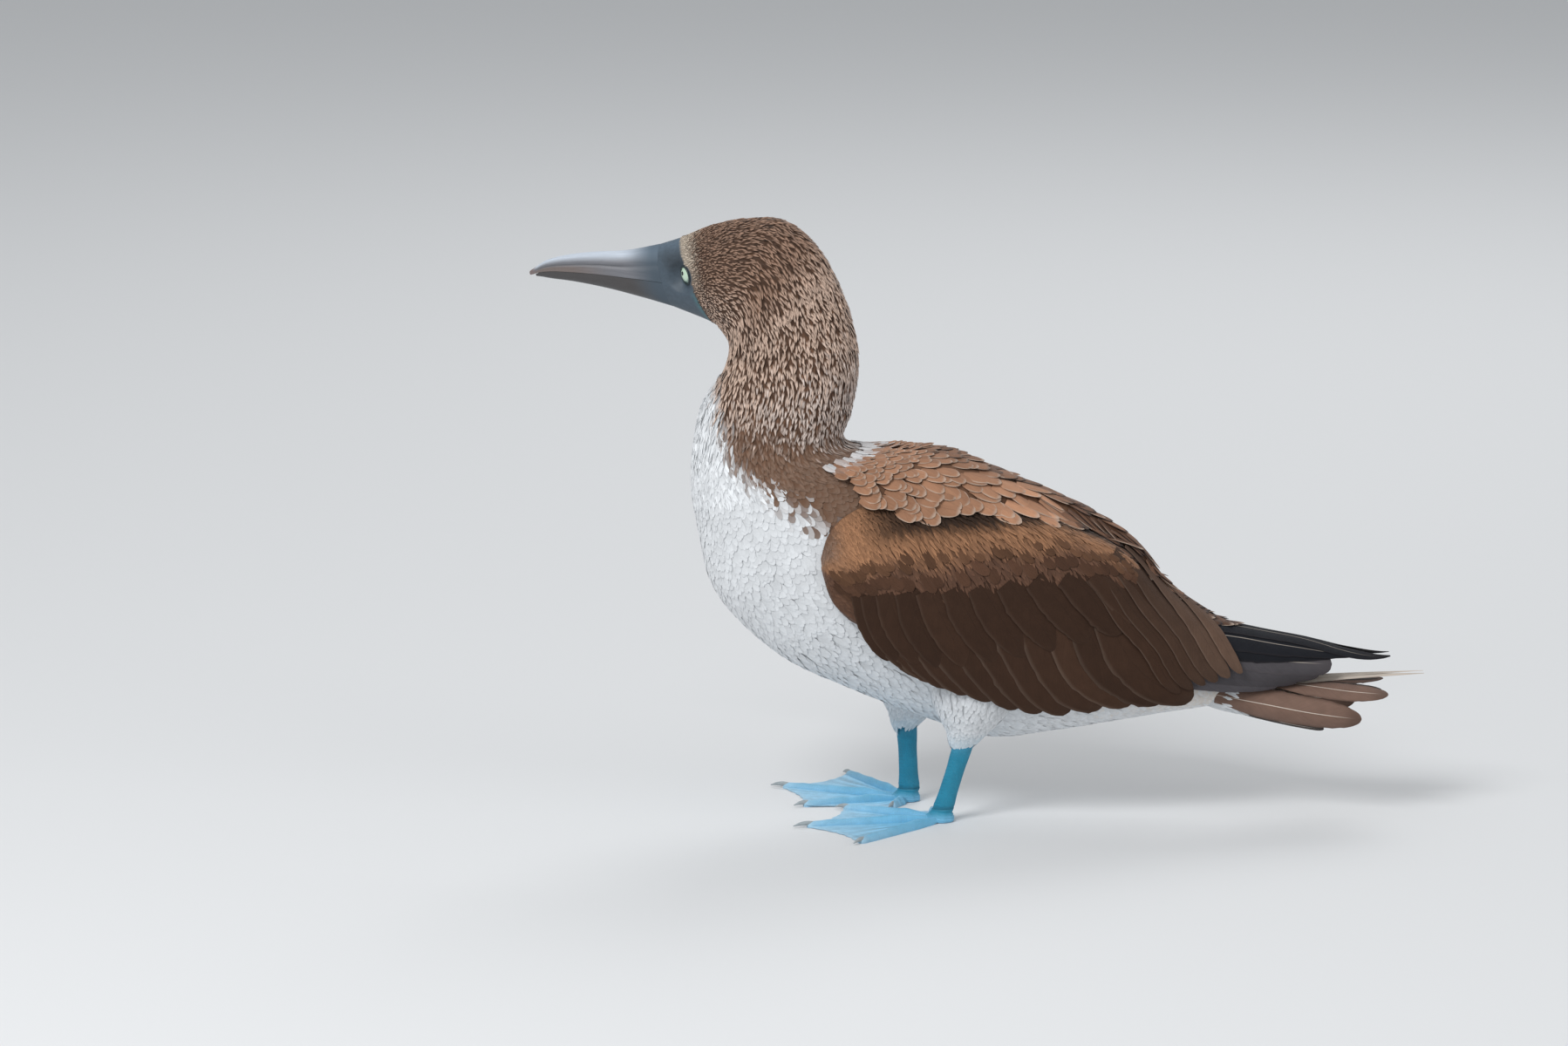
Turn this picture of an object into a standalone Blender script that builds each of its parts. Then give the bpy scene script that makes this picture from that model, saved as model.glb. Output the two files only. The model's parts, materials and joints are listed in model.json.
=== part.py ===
"""Blue-footed booby standing at rest, life size, as closed solids.

The bird faces -X, its left side is -Y and +Z is up. Sizes are in millimetres until an object is made.
"""

import math

import bmesh
import bpy
import numpy as np

# Scale and placing
MM = 0.001
CENTRE_X = 0.14
CENTRE_Y = 5.76

# Head, turned to the bird's right about a vertical line through the neck
HEAD_TURN = math.radians(20.0)
HEAD_AXIS_X = -136.0

# Side views are taken from this far above level: a place that stands out towards the viewer looks lower
VIEW_SLOPE = math.tan(math.radians(11.0))
WING_STANDS_OUT = 8.0

# Gaps between neighbouring pieces
FACE_GAP = 0.3
BED_GAP = 0.6
MIDLINE_GAP = 0.4

# Sections from the bill root back to the tail root: the lowest point (x, z), the highest point (x, z),
# the half width, and the share of the head's turn
HEAD_ROWS = [
    (-220, 365, -230, 409, 11.5, 1.0),
    (-187, 352, -213, 414, 18.5, 1.0),
    (-178, 343, -192, 422, 25.5, 1.0),
    (-174, 335, -165, 426.5, 28.5, 1.0),
    (-175, 327, -136, 424, 30.0, 1.0),
    (-180, 317, -111, 403, 31.0, 1.0),
]
NECK_ROWS = [
    (-186, 311, -94, 371, 32.0, 0.85),
    (-192, 302, -86, 344, 35.0, 0.65),
    (-197, 289, -84, 319, 39.0, 0.4),
    (-200, 272, -89, 289, 44.0, 0.2),
    (-202, 253, -94, 270, 49.0, 0.0),
]
TRUNK_ROWS = [
    (-202, 230, -76, 262, 55.0, 0.0),
    (-197, 201, -49, 257, 60.0, 0.0),
    (-189, 167, -19, 250, 62.0, 0.0),
    (-169, 139, 12, 237, 63.0, 0.0),
    (-134, 110, 43, 222, 62.0, 0.0),
    (-91, 90, 74, 205, 59.0, 0.0),
    (-43, 71, 101, 187, 54.0, 0.0),
    (7, 55, 123, 163, 47.0, 0.0),
]
RUMP_ROWS = [
    (53, 59, 139, 137, 37.0, 0.0),
    (97, 66, 152, 119, 28.0, 0.0),
    (134, 72, 165, 109, 21.0, 0.0),
    (162, 76, 176, 101, 15.0, 0.0),
]
FOLDED_WING_ROWS = [
    (53, 62, 147, 145, 41.0, 0.0),
    (97, 68, 171, 134, 35.0, 0.0),
    (140, 77, 199, 127, 29.0, 0.0),
    (187, 86, 231, 121, 22.0, 0.0),
    (233, 96, 262, 114, 14.0, 0.0),
    (280, 106, 294, 110, 7.0, 0.0),
    (323, 111, 325, 113, 3.0, 0.0),
]
TAIL_ROWS = [
    (162, 76, 176, 101, 15.0, 0.0),
    (202, 65, 208, 97, 22.0, 0.0),
    (249, 56, 258, 98, 32.0, 0.0),
    (292, 52, 317, 99, 40.0, 0.0),
]
BILL_ROWS = [
    (-220, 365, -230, 409, 11.5, 1.0),
    (-241, 371, -255, 405, 9.6, 1.0),
    (-268, 378, -281, 404, 8.0, 1.0),
    (-293, 383, -301, 402, 6.2, 1.0),
    (-311, 385.5, -314, 399, 4.6, 1.0),
    (-320, 387, -321, 395.5, 3.2, 1.0),
    (-327, 387.5, -328, 391, 1.4, 1.0),
]

# Height of the mouth line at each bill section, from -1 at the keel to 1 at the culmen
MOUTH_LEVELS = [-0.18, -0.12, -0.16, -0.2, -0.2, -0.3, -0.6]

# Station numbers where one piece ends and the next begins
NAPE_STATION = 5
NECK_ROOT_STATION = 10
LOWER_BILL_END = 5.35
GROOVE_ANGLE = 68
GROOVE_HALF_ANGLE = 9
GROOVE_DEPTH = 0.7
UPPER_BILL_SIDES = 16
LOWER_BILL_SIDES = 10
HEAD_SIDES = 26

# Trunk
TRUNK_SIDES = 28
UNDER_WING = 1.0

# Eyes
EYE_CENTRE = (-203.5, -13.2, 391.0)
EYE_RADIUS = 7.5
EYE_FORWARD = math.radians(36.0)
LID_MAJOR = 6.9
LID_MINOR = 1.3
LID_OFFSET = 4.5

# Legs: the joint with the foot and the end of the bare part
LEG_SPREAD = 33.0
ANKLE_TOP = 9.2
LEG_TOP = 58.0
NEAR_LEG_X = (-24.0, -9.0)
FAR_LEG_X = (-47.0, -49.0)
LEG_HALF_DEPTH = 7.0
LEG_HALF_WIDTH = 5.0
LEG_SIDES = 14

# Rings of a bare leg from foot to feathers: share of its height, of its depth and of its width
LEG_RINGS = [(0.0, 1.05, 1.1), (0.1, 0.92, 0.95), (0.5, 0.9, 0.9), (0.9, 1.0, 1.0), (1.0, 1.0, 1.0)]

# Feathered thigh: each ring's height, half depth and half width, and the shift back and in from ring to ring
THIGH_SIDES = 16
THIGH_BACK = 3.0
THIGH_IN = 1.5
THIGH_RINGS = [
    (58.0, 12.5, 9.5),
    (66.0, 17.0, 13.0),
    (78.0, 26.0, 18.0),
    (96.0, 36.0, 23.0),
    (112.0, 38.0, 24.0),
]

# Feet: each toe's angle from straight ahead, positive outward, its length without claw and its claw
TOES = [(50.0, 92.0, 7.0), (12.0, 98.0, 10.0), (-27.0, 78.0, 7.0), (-75.0, 28.0, 5.0)]
TOE_RADII = [(0.0, 2.6), (0.25, 3.7), (1.0, 2.7)]
TOE_START = 9.0
WEB_THICK = 1.5
WEB_CLEARANCE = 0.35
WEB_DIP = 0.1
TOE_ARCH = 1.7
FOOT_REACH = (0.0, 0.25, 0.5, 0.75, 0.93, 1.0)
FOOT_ROOT_FLOOR = 1.0
FAR_FOOT_TURN = math.radians(12.0)

# Claw rings from inside the toe to the point: share of the length, height and radius
CLAW_INSIDE = 4.0
CLAW_SIDES = 6
CLAW_RINGS = [(0.0, 2.3, 1.7), (0.35, 2.7, 1.6), (0.7, 2.3, 1.1), (1.0, 1.2, 0.4)]

# Rings of the joint over the toes: height, half depth, half width and shift along X
ANKLE_SIDES = 16
ANKLE_RINGS = [
    (0.0, 12.0, 10.0, -2.5),
    (3.0, 12.5, 10.5, -2.5),
    (6.3, 10.0, 8.0, -1.6),
    (ANKLE_TOP, 7.6, 5.6, 0.0),
]

# Feather blades
VANE_THICK = 0.5
VANE_CAMBER = 0.25
LONG_BLADE = [(0.0, 0.8), (0.25, 0.95), (0.5, 1.0), (0.75, 0.98), (0.92, 0.68), (1.0, 0.16)]
SHORT_BLADE = [(0.0, 0.8), (0.45, 1.0), (0.86, 0.74), (1.0, 0.2)]
FAN_BLADE = [(0.0, 0.5), (0.4, 0.85), (0.78, 1.0), (0.93, 0.7), (1.0, 0.2)]
POINTED_BLADE = [(0.0, 0.8), (0.18, 0.95), (0.36, 1.0), (0.54, 0.86), (0.7, 0.62), (0.86, 0.34), (1.0, 0.08)]


def catmull(rows, u):
    """A smooth curve through the rows at station u, running straight on past either end."""
    last = len(rows) - 1
    i = min(max(int(math.floor(u)), 0), last - 1)
    t = u - i
    p1 = rows[i]
    p2 = rows[i + 1]
    p0 = rows[i - 1] if i > 0 else 2 * p1 - p2
    p3 = rows[i + 2] if i + 2 <= last else 2 * p2 - p1
    return 0.5 * (
        2 * p1 + (p2 - p0) * t + (2 * p0 - 5 * p1 + 4 * p2 - p3) * t * t + (3 * p1 - p0 - 3 * p2 + p3) * t**3
    )


class Surface:
    """A surface through oval sections: u counts the sections, a is the angle from the highest point.

    Angles from 0 to pi lie on the bird's left side, negative ones on its right. A skirt below 1 makes
    the lower half hang straighter down.
    """

    def __init__(self, rows, skirt=1.0):
        self.rows = np.array(rows, float)
        self.skirt = skirt

    def section(self, u):
        row = catmull(self.rows, u)
        low = np.array([row[0], 0.0, row[1]])
        high = np.array([row[2], 0.0, row[3]])
        return (low + high) / 2, (high - low) / 2, max(row[4], 0.2), row[5]

    def turned(self, point, share):
        """A point turned with the head, which also nods down as far as it turns away from the viewer."""
        angle = HEAD_TURN * share
        x = point[0] - HEAD_AXIS_X
        y = point[1]
        return np.array(
            [
                HEAD_AXIS_X + x * math.cos(angle) + y * math.sin(angle),
                -x * math.sin(angle) + y * math.cos(angle),
                point[2] + x * math.sin(angle) * VIEW_SLOPE,
            ]
        )

    def bare(self, u, a):
        middle, up, half_width, share = self.section(u)
        point = middle + up * math.cos(a)
        out = math.sin(a)
        if math.cos(a) < 0:
            out = math.copysign(abs(out) ** self.skirt, out)
        point[1] = -half_width * out
        return self.turned(point, share)

    def slopes(self, u, a, step=0.01):
        along = (self.bare(u + step, a) - self.bare(u - step, a)) / (2 * step)
        around = (self.bare(u, a + step) - self.bare(u, a - step)) / (2 * step)
        return along, around

    def normal(self, u, a):
        along, around = self.slopes(u, a)
        n = np.cross(around, along)
        n /= max(np.linalg.norm(n), 1e-9)
        middle, _, _, share = self.section(u)
        return n if np.dot(n, self.bare(u, a) - self.turned(middle, share)) > 0 else -n

    def point(self, u, a, lift=0.0):
        return self.bare(u, a) + self.normal(u, a) * lift

    def stepped(self, u, a, offset):
        """The station and angle reached from (u, a) by a short step of offset, a vector in millimetres."""
        along, around = self.slopes(u, a)
        matrix = np.stack([along, around], axis=1)
        du, da = np.linalg.lstsq(matrix, offset, rcond=None)[0]
        return u + du, a + da

    def find(self, x, z):
        """The station and left-side angle that stand over (x, z) in the side view."""
        level = z
        for _ in range(5):
            u, a = self.beside(x, level)
            level = z + VIEW_SLOPE * (WING_STANDS_OUT - self.bare(u, a)[1])
        return np.array([u, a])

    def beside(self, x, z):
        """The station and left-side angle at the given x and z."""
        low = 0.0
        high = len(self.rows) - 1.0
        for _ in range(40):
            u = (low + high) / 2
            middle, up, _, _ = self.section(u)
            side = up[0] * (z - middle[2]) - up[2] * (x - middle[0])
            if side < 0:
                low = u
            else:
                high = u
        middle, up, _, _ = self.section(u)
        share = ((x - middle[0]) * up[0] + (z - middle[2]) * up[2]) / float(np.dot(up, up))
        return u, math.acos(min(max(share, -0.995), 0.999))

    def station_at(self, x, a):
        """The station where the line at angle a reaches x."""
        low = 0.0
        high = len(self.rows) - 1.0
        for _ in range(40):
            u = (low + high) / 2
            if self.bare(u, a)[0] < x:
                low = u
            else:
                high = u
        return u


def grid_faces(rows, columns, start=0):
    """Triangles of an open grid of points, row after row."""
    faces = []
    for i in range(rows - 1):
        for j in range(columns - 1):
            k = start + i * columns + j
            faces.append((k, k + 1, k + columns + 1))
            faces.append((k, k + columns + 1, k + columns))
    return faces


def plate(top, bottom):
    """A closed plate between two grids of points, with the same triangles on both."""
    rows, columns, _ = top.shape
    count = rows * columns
    faces = grid_faces(rows, columns)
    faces += [(c + count, b + count, a + count) for a, b, c in grid_faces(rows, columns)]
    rim = [(0, j) for j in range(columns)]
    rim += [(i, columns - 1) for i in range(1, rows)]
    rim += [(rows - 1, j) for j in range(columns - 2, -1, -1)]
    rim += [(i, 0) for i in range(rows - 2, 0, -1)]
    ring = [i * columns + j for i, j in rim]
    for k, here in enumerate(ring):
        after = ring[(k + 1) % len(ring)]
        faces.append((here, here + count, after + count))
        faces.append((here, after + count, after))
    return np.concatenate([top.reshape(-1, 3), bottom.reshape(-1, 3)]), faces


def loft(rings):
    """A closed solid through rings of points, with a fan over each end."""
    size = len(rings[0])
    points = [p for ring in rings for p in ring]
    faces = []
    for i in range(len(rings) - 1):
        for j in range(size):
            a = i * size + j
            b = i * size + (j + 1) % size
            faces.append((a, b, b + size))
            faces.append((a, b + size, a + size))
    for ring, first in ((rings[0], 0), (rings[-1], (len(rings) - 1) * size)):
        centre = len(points)
        points.append(np.mean(np.array(ring), axis=0))
        for j in range(size):
            faces.append((centre, first + j, first + (j + 1) % size))
    return np.array(points), faces


def oval_ring(centre, side, up, count):
    """Points round an ellipse spanned by two half axes."""
    angles = [2 * math.pi * k / count for k in range(count)]
    return [centre + side * math.sin(a) + up * math.cos(a) for a in angles]


def mirrored(solid):
    """The same solid on the bird's other side."""
    points, faces = solid
    return points * np.array([1.0, -1.0, 1.0]), [face[::-1] for face in faces]


def kept_left(solid):
    """The solid held clear of the midline on the bird's left side."""
    points, faces = solid
    points = points.copy()
    points[:, 1] = np.minimum(points[:, 1], -MIDLINE_GAP)
    return points, faces


def vane(bed, root, tip, width, lift, tilt=0.0, form=LONG_BLADE):
    """One feather blade laid on the bed from root to tip, each a station and an angle.

    lift holds the heights over the bed at root and tip; tilt raises the lower edge and tucks the upper one.
    """
    top = np.zeros((len(form), 3, 3))
    bottom = np.zeros((len(form), 3, 3))
    delta = tip - root
    for i, (s, share) in enumerate(form):
        u, a = root + delta * s
        along, around = bed.slopes(u, a)
        direction = along * delta[0] + around * delta[1]
        direction /= np.linalg.norm(direction)
        across = np.cross(bed.normal(u, a), direction)
        height = lift[0] + (lift[1] - lift[0]) * s
        half = VANE_THICK / 2 if s < 1 else VANE_THICK / 4
        for j, c in enumerate((-1.0, 0.0, 1.0)):
            v, b = bed.stepped(u, a, across * (c * share * width / 2))
            level = height - tilt * c * share + VANE_CAMBER * (1 - abs(c)) * share
            top[i, j] = bed.point(v, b, level + half)
            bottom[i, j] = bed.point(v, b, level - half)
    return plate(top, bottom)


def pad(bed, upper, lower, outer, steps, lift=BED_GAP):
    """A padded sheet on the bed between an upper and a lower border, thick by the rule outer(s, v)."""
    along, across = steps
    top = np.zeros((along + 1, across + 1, 3))
    bottom = np.zeros((along + 1, across + 1, 3))
    for i in range(along + 1):
        s = i / along
        start = upper(s)
        end = lower(s)
        for j in range(across + 1):
            v = j / across
            u, a = start + (end - start) * v
            top[i, j] = bed.point(u, a, outer(s, v))
            bottom[i, j] = bed.point(u, a, lift)
    return plate(top, bottom)


def curve_on(bed, points):
    """A smooth line on the bed through points of the side view, as a function of 0 to 1."""
    places = np.array([bed.find(x, z) for x, z in points])
    return lambda s: catmull(places, s * (len(places) - 1))


def spread(points, count):
    """Places spaced evenly along a line of side-view points."""
    rows = np.array(points, float)
    runs = np.concatenate([[0.0], np.cumsum(np.linalg.norm(np.diff(rows, axis=0), axis=1))])
    stops = np.interp(np.linspace(0, runs[-1], count), runs, np.arange(len(rows)))
    return [catmull(rows, stop) for stop in stops]


def material(name, colour, roughness, metallic=0.0):
    finish = bpy.data.materials.new(name)
    finish.use_nodes = True
    shader = finish.node_tree.nodes["Principled BSDF"]
    shader.inputs["Base Color"].default_value = (*colour, 1.0)
    shader.inputs["Roughness"].default_value = roughness
    shader.inputs["Metallic"].default_value = metallic
    return finish


def mesh_of(name, solid):
    """A mesh in metres with its faces pointing out."""
    points, faces = solid
    mesh = bpy.data.meshes.new(name)
    mesh.from_pydata([tuple(p * MM) for p in points], [], faces)
    edit = bmesh.new()
    edit.from_mesh(mesh)
    bmesh.ops.recalc_face_normals(edit, faces=edit.faces)
    if edit.calc_volume(signed=True) < 0:
        bmesh.ops.reverse_faces(edit, faces=edit.faces)
    edit.to_mesh(mesh)
    edit.free()
    return mesh


def place(name, mesh, finish, stand):
    """An object of the bird, fixed to the empty at its base."""
    body = bpy.data.objects.new(name, mesh)
    body.parent = stand
    body.data.materials.clear()
    body.data.materials.append(finish)
    bpy.context.scene.collection.objects.link(body)
    return body


def largest_surface(mesh):
    """Only the largest closed surface of a mesh is kept."""
    edit = bmesh.new()
    edit.from_mesh(mesh)
    bmesh.ops.remove_doubles(edit, verts=edit.verts, dist=1e-6)
    bmesh.ops.triangulate(edit, faces=edit.faces)
    left = set(edit.faces)
    groups = []
    while left:
        stack = [left.pop()]
        group = set(stack)
        while stack:
            face = stack.pop()
            for edge in face.edges:
                for other in edge.link_faces:
                    if other in left:
                        left.discard(other)
                        group.add(other)
                        stack.append(other)
        groups.append(group)
    groups.sort(key=lambda group: sum(face.calc_area() for face in group))
    for group in groups[:-1]:
        bmesh.ops.delete(edit, geom=list(group), context="FACES")
    loose = [v for v in edit.verts if not v.link_faces]
    bmesh.ops.delete(edit, geom=loose, context="VERTS")
    edit.to_mesh(mesh)
    edit.free()


def combined(body, solids, operation, solver):
    """The body's mesh after one Boolean with a collection of solids."""
    scene = bpy.context.scene
    group = bpy.data.collections.new("pieces")
    scene.collection.children.link(group)
    for k, solid in enumerate(solids):
        name = f"piece_{k:03d}"
        piece = bpy.data.objects.new(name, mesh_of(name, solid))
        piece.parent = body.parent
        group.objects.link(piece)
    modifier = body.modifiers.new(operation.lower(), "BOOLEAN")
    modifier.operation = operation
    modifier.operand_type = "COLLECTION"
    modifier.collection = group
    modifier.solver = solver
    bpy.context.view_layer.update()
    view = bpy.context.evaluated_depsgraph_get()
    result = bpy.data.meshes.new_from_object(body.evaluated_get(view))
    body.modifiers.clear()
    body.data = result
    for piece in list(group.objects):
        bpy.data.objects.remove(piece)
    bpy.data.collections.remove(group)


def fused(name, base, solids, finish, stand, cutters=(), solver="EXACT"):
    """One solid: the base joined with the other solids, less the cutters."""
    body = place(name, mesh_of(name, base), finish, stand)
    if solids:
        combined(body, solids, "UNION", solver)
    if cutters:
        combined(body, cutters, "DIFFERENCE", solver)
    largest_surface(body.data)
    body.data.materials.clear()
    body.data.materials.append(finish)
    return body


def section_ring(surface, u, count, shift=0.0):
    """The points round one section, moved along the section's own normal by shift."""
    _, up, _, share = surface.section(u)
    ahead = np.array([up[2], 0.0, -up[0]])
    axis = np.array([HEAD_AXIS_X, 0.0, 0.0])
    ahead = surface.turned(ahead + axis, share) - axis
    ahead /= np.linalg.norm(ahead)
    return [surface.bare(u, 2 * math.pi * k / count) + ahead * shift for k in range(count)]


def stations(first, last, per_section):
    count = max(int(round((last - first) * per_section)), 1)
    return [first + (last - first) * k / count for k in range(count + 1)]


def body_part(surface, first, last, per_section, count, gap_first, gap_last):
    """The stretch of the body between two stations, drawn in at each end by half a gap."""
    rings = []
    for u in stations(first, last, per_section):
        shift = 0.0
        if u == first:
            shift = gap_first / 2
        if u == last:
            shift = -gap_last / 2
        rings.append(section_ring(surface, u, count, shift))
    return loft(rings)


def sphere(centre, radius, rings=10, segments=14):
    points = [centre + np.array([0.0, 0.0, radius])]
    faces = []
    for i in range(1, rings):
        polar = math.pi * i / rings
        height = radius * math.cos(polar)
        reach = radius * math.sin(polar)
        for j in range(segments):
            turn = 2 * math.pi * j / segments
            points.append(centre + np.array([reach * math.cos(turn), reach * math.sin(turn), height]))
    points.append(centre - np.array([0.0, 0.0, radius]))
    last = len(points) - 1
    for j in range(segments):
        after = (j + 1) % segments
        faces.append((0, 1 + j, 1 + after))
        faces.append((last, last - segments + after, last - segments + j))
        for i in range(rings - 2):
            a = 1 + i * segments + j
            b = 1 + i * segments + after
            faces.append((a, a + segments, b + segments))
            faces.append((a, b + segments, b))
    return np.array(points), faces


def torus(centre, axis, major, minor, around=14, tube=5):
    side = np.cross(axis, np.array([0.0, 0.0, 1.0]))
    side /= np.linalg.norm(side)
    up = np.cross(side, axis)
    points = []
    faces = []
    for i in range(around):
        turn = 2 * math.pi * i / around
        out = side * math.cos(turn) + up * math.sin(turn)
        for j in range(tube):
            roll = 2 * math.pi * j / tube
            points.append(centre + out * (major + minor * math.cos(roll)) + axis * (minor * math.sin(roll)))
    for i in range(around):
        for j in range(tube):
            a = i * tube + j
            b = i * tube + (j + 1) % tube
            c = ((i + 1) % around) * tube + (j + 1) % tube
            d = ((i + 1) % around) * tube + j
            faces.append((a, b, c))
            faces.append((a, c, d))
    return np.array(points), faces


def head_place(x, y, z):
    """A point of the unturned head, turned with it."""
    return Surface.turned(None, np.array([x, y, z], float), 1.0)


def eye_frame(side):
    """Centre and outward axis of one eye, side -1 for the left and 1 for the right."""
    x, y, z = EYE_CENTRE
    centre = head_place(x, -side * y, z)
    tip = head_place(x - math.sin(EYE_FORWARD), -side * y + side * math.cos(EYE_FORWARD), z + 0.03)
    axis = tip - centre
    return centre, axis / np.linalg.norm(axis)


def build_head(body, finish, stand):
    skull = body_part(body, 0, NAPE_STATION, 2.2, HEAD_SIDES, 0.0, FACE_GAP)
    lids = []
    sockets = []
    for side in (-1, 1):
        centre, axis = eye_frame(side)
        lids.append(torus(centre + axis * LID_OFFSET, axis, LID_MAJOR, LID_MINOR))
        sockets.append(sphere(centre, EYE_RADIUS + FACE_GAP))
    fused("head", skull, lids, finish, stand, sockets)


def build_eyes(finish, stand):
    for side, name in ((-1, "eye_left"), (1, "eye_right")):
        centre, _ = eye_frame(side)
        place(name, mesh_of(name, sphere(centre, EYE_RADIUS)), finish, stand)


def mouth_angle(u):
    level = float(catmull(np.array(MOUTH_LEVELS).reshape(-1, 1), u)[0])
    return math.acos(min(max(level, -0.98), 0.98))


def bill_ring(bill, u, first, last, count, shift, roof):
    """An arc of the bill's section closed by the flat mouth, moved off the mouth line by half a gap."""
    _, up, _, _ = bill.section(u)
    scale = min(1.0, np.linalg.norm(up) / 4)
    drop = np.array([0.0, 0.0, FACE_GAP / 2 if roof else -FACE_GAP / 2])
    ring = []
    for k in range(count + 1):
        a = first + (last - first) * k / count
        point = bill.bare(u, a) + drop
        degrees = abs(math.degrees(a))
        if roof and abs(degrees - GROOVE_ANGLE) < GROOVE_HALF_ANGLE:
            inward = -bill.normal(u, a)
            point = point + inward * GROOVE_DEPTH * scale
        ring.append(point + shift)
    return ring


def build_bill(finish, stand):
    bill = Surface(BILL_ROWS)
    _, up, _, _ = bill.section(0.0)
    ahead = np.array([-up[2], 0.0, up[0]])
    ahead = head_place(HEAD_AXIS_X + ahead[0], 0.0, ahead[2]) - head_place(HEAD_AXIS_X, 0.0, 0.0)
    ahead /= np.linalg.norm(ahead)
    root_shift = ahead * FACE_GAP
    upper = []
    lower = []
    for u in stations(0, len(BILL_ROWS) - 1, 2):
        shift = root_shift if u == 0 else root_shift * 0
        edge = mouth_angle(u)
        upper.append(bill_ring(bill, u, -edge, edge, UPPER_BILL_SIDES, shift, True))
    for u in stations(0, LOWER_BILL_END, 2):
        shift = root_shift if u == 0 else root_shift * 0
        edge = mouth_angle(u)
        lower.append(bill_ring(bill, u, edge, 2 * math.pi - edge, LOWER_BILL_SIDES, shift, False))
    place("upper_bill", mesh_of("upper_bill", loft(upper)), finish, stand)
    place("lower_bill", mesh_of("lower_bill", loft(lower)), finish, stand)


def thigh(leg_x, side):
    """The feathered thigh round the top of one bare leg."""
    rings = []
    for k, (z, half_depth, half_width) in enumerate(THIGH_RINGS):
        x = leg_x[1] + THIGH_BACK * k
        y = side * (LEG_SPREAD - THIGH_IN * k)
        centre = np.array([x, y, z + FACE_GAP / 2])
        depth = np.array([half_depth, 0.0, 0.0])
        width = np.array([0.0, half_width, 0.0])
        rings.append(oval_ring(centre, depth, width, THIGH_SIDES))
    return loft(rings)


def under_wings(u, a):
    """How far the trunk is drawn in under the wings and the mantle."""
    turn = abs(math.degrees(math.remainder(a, 2 * math.pi)))
    back = min(max((u - NECK_ROOT_STATION - 0.2) / 0.8, 0.0), 1.0)
    return UNDER_WING * back * min(max((135 - turn) / 20, 0.0), 1.0)


def build_torso(body, finish, stand):
    end = len(body.rows) - 1
    turns = [2 * math.pi * k / TRUNK_SIDES for k in range(TRUNK_SIDES)]
    rings = [section_ring(body, NECK_ROOT_STATION, TRUNK_SIDES, FACE_GAP / 2)]
    for u in stations(NECK_ROOT_STATION, end, 1.75)[1:-1]:
        rings.append([body.point(u, a, -under_wings(u, a)) for a in turns])
    rings.append(section_ring(body, end, TRUNK_SIDES, -FACE_GAP / 2))
    thighs = [thigh(NEAR_LEG_X, -1), thigh(FAR_LEG_X, 1)]
    fused("torso", loft(rings), thighs, finish, stand)


def build_legs(finish, stand):
    for side, name, ends in ((-1, "leg_left", NEAR_LEG_X), (1, "leg_right", FAR_LEG_X)):
        rings = []
        for t, depth, width in LEG_RINGS:
            z = ANKLE_TOP + FACE_GAP + (LEG_TOP - ANKLE_TOP - FACE_GAP * 1.5) * t
            centre = np.array([ends[0] + (ends[1] - ends[0]) * t, side * LEG_SPREAD, z])
            half_depth = np.array([LEG_HALF_DEPTH * depth, 0.0, 0.0])
            half_width = np.array([0.0, LEG_HALF_WIDTH * width, 0.0])
            rings.append(oval_ring(centre, half_depth, half_width, LEG_SIDES))
        place(name, mesh_of(name, loft(rings)), finish, stand)


def toe_line(angle, length, offset):
    """Points along a line beside a toe's middle, from the ankle to the toe's end."""
    out = math.radians(angle)
    ahead = np.array([-math.cos(out), -math.sin(out)])
    beside = np.array([-ahead[1], ahead[0]])
    return lambda f: ahead * (TOE_START + (length - TOE_START) * f) + beside * offset


def toe_columns(angle, length):
    """Five lines of points over one toe, from its outer edge to its inner one: upper and lower."""
    columns = []
    for share in (1.0, 0.6, 0.0, -0.6, -1.0):
        column = []
        for f in FOOT_REACH:
            radius = float(np.interp(f, [row[0] for row in TOE_RADII], [row[1] for row in TOE_RADII]))
            x, y = toe_line(angle, length, share * radius)(f)
            arch = TOE_ARCH * radius * (0.6 if f == 1.0 else 1.0)
            height = {0.0: arch, 0.6: 0.78 * arch, 1.0: WEB_THICK + 0.3}[abs(share)]
            floor = 0.0 if abs(share) < 1 else WEB_CLEARANCE
            column.append(((x, y, height), (x, y, FOOT_ROOT_FLOOR if f == 0.0 else floor)))
        columns.append(column)
    return columns


def web_columns(before, after):
    """Two lines of points over the web between two toes, with its rim drawn in."""
    columns = []
    for t in (1 / 3, 2 / 3):
        column = []
        for f, (here, _), (there, _) in zip(FOOT_REACH, before, after):
            pull = 1 - WEB_DIP * 4 * t * (1 - t) * f
            x = (here[0] + (there[0] - here[0]) * t) * pull
            y = (here[1] + (there[1] - here[1]) * t) * pull
            column.append(((x, y, WEB_THICK), (x, y, FOOT_ROOT_FLOOR if f == 0.0 else WEB_CLEARANCE)))
        columns.append(column)
    return columns


def foot_sheet():
    """Toes and webs of a left foot as one sheet round the ankle at the origin."""
    columns = []
    for angle, length, _ in TOES:
        toe = toe_columns(angle, length)
        if columns:
            columns += web_columns(columns[-1], toe[0])
        columns += toe
    points = np.array(columns)
    return plate(points[:, :, 0], points[:, :, 1])


def claw(angle, length, reach):
    """A small curved claw that starts inside its toe and ends just over the floor."""
    out = math.radians(angle)
    ahead = np.array([-math.cos(out), -math.sin(out), 0.0])
    side = np.array([-ahead[1], ahead[0], 0.0])
    up = np.array([0.0, 0.0, 1.0])
    rings = []
    for t, z, radius in CLAW_RINGS:
        centre = ahead * (length - CLAW_INSIDE + (reach + CLAW_INSIDE) * t) + up * z
        rings.append(oval_ring(centre, side * radius, up * radius, CLAW_SIDES))
    return loft(rings)


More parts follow.
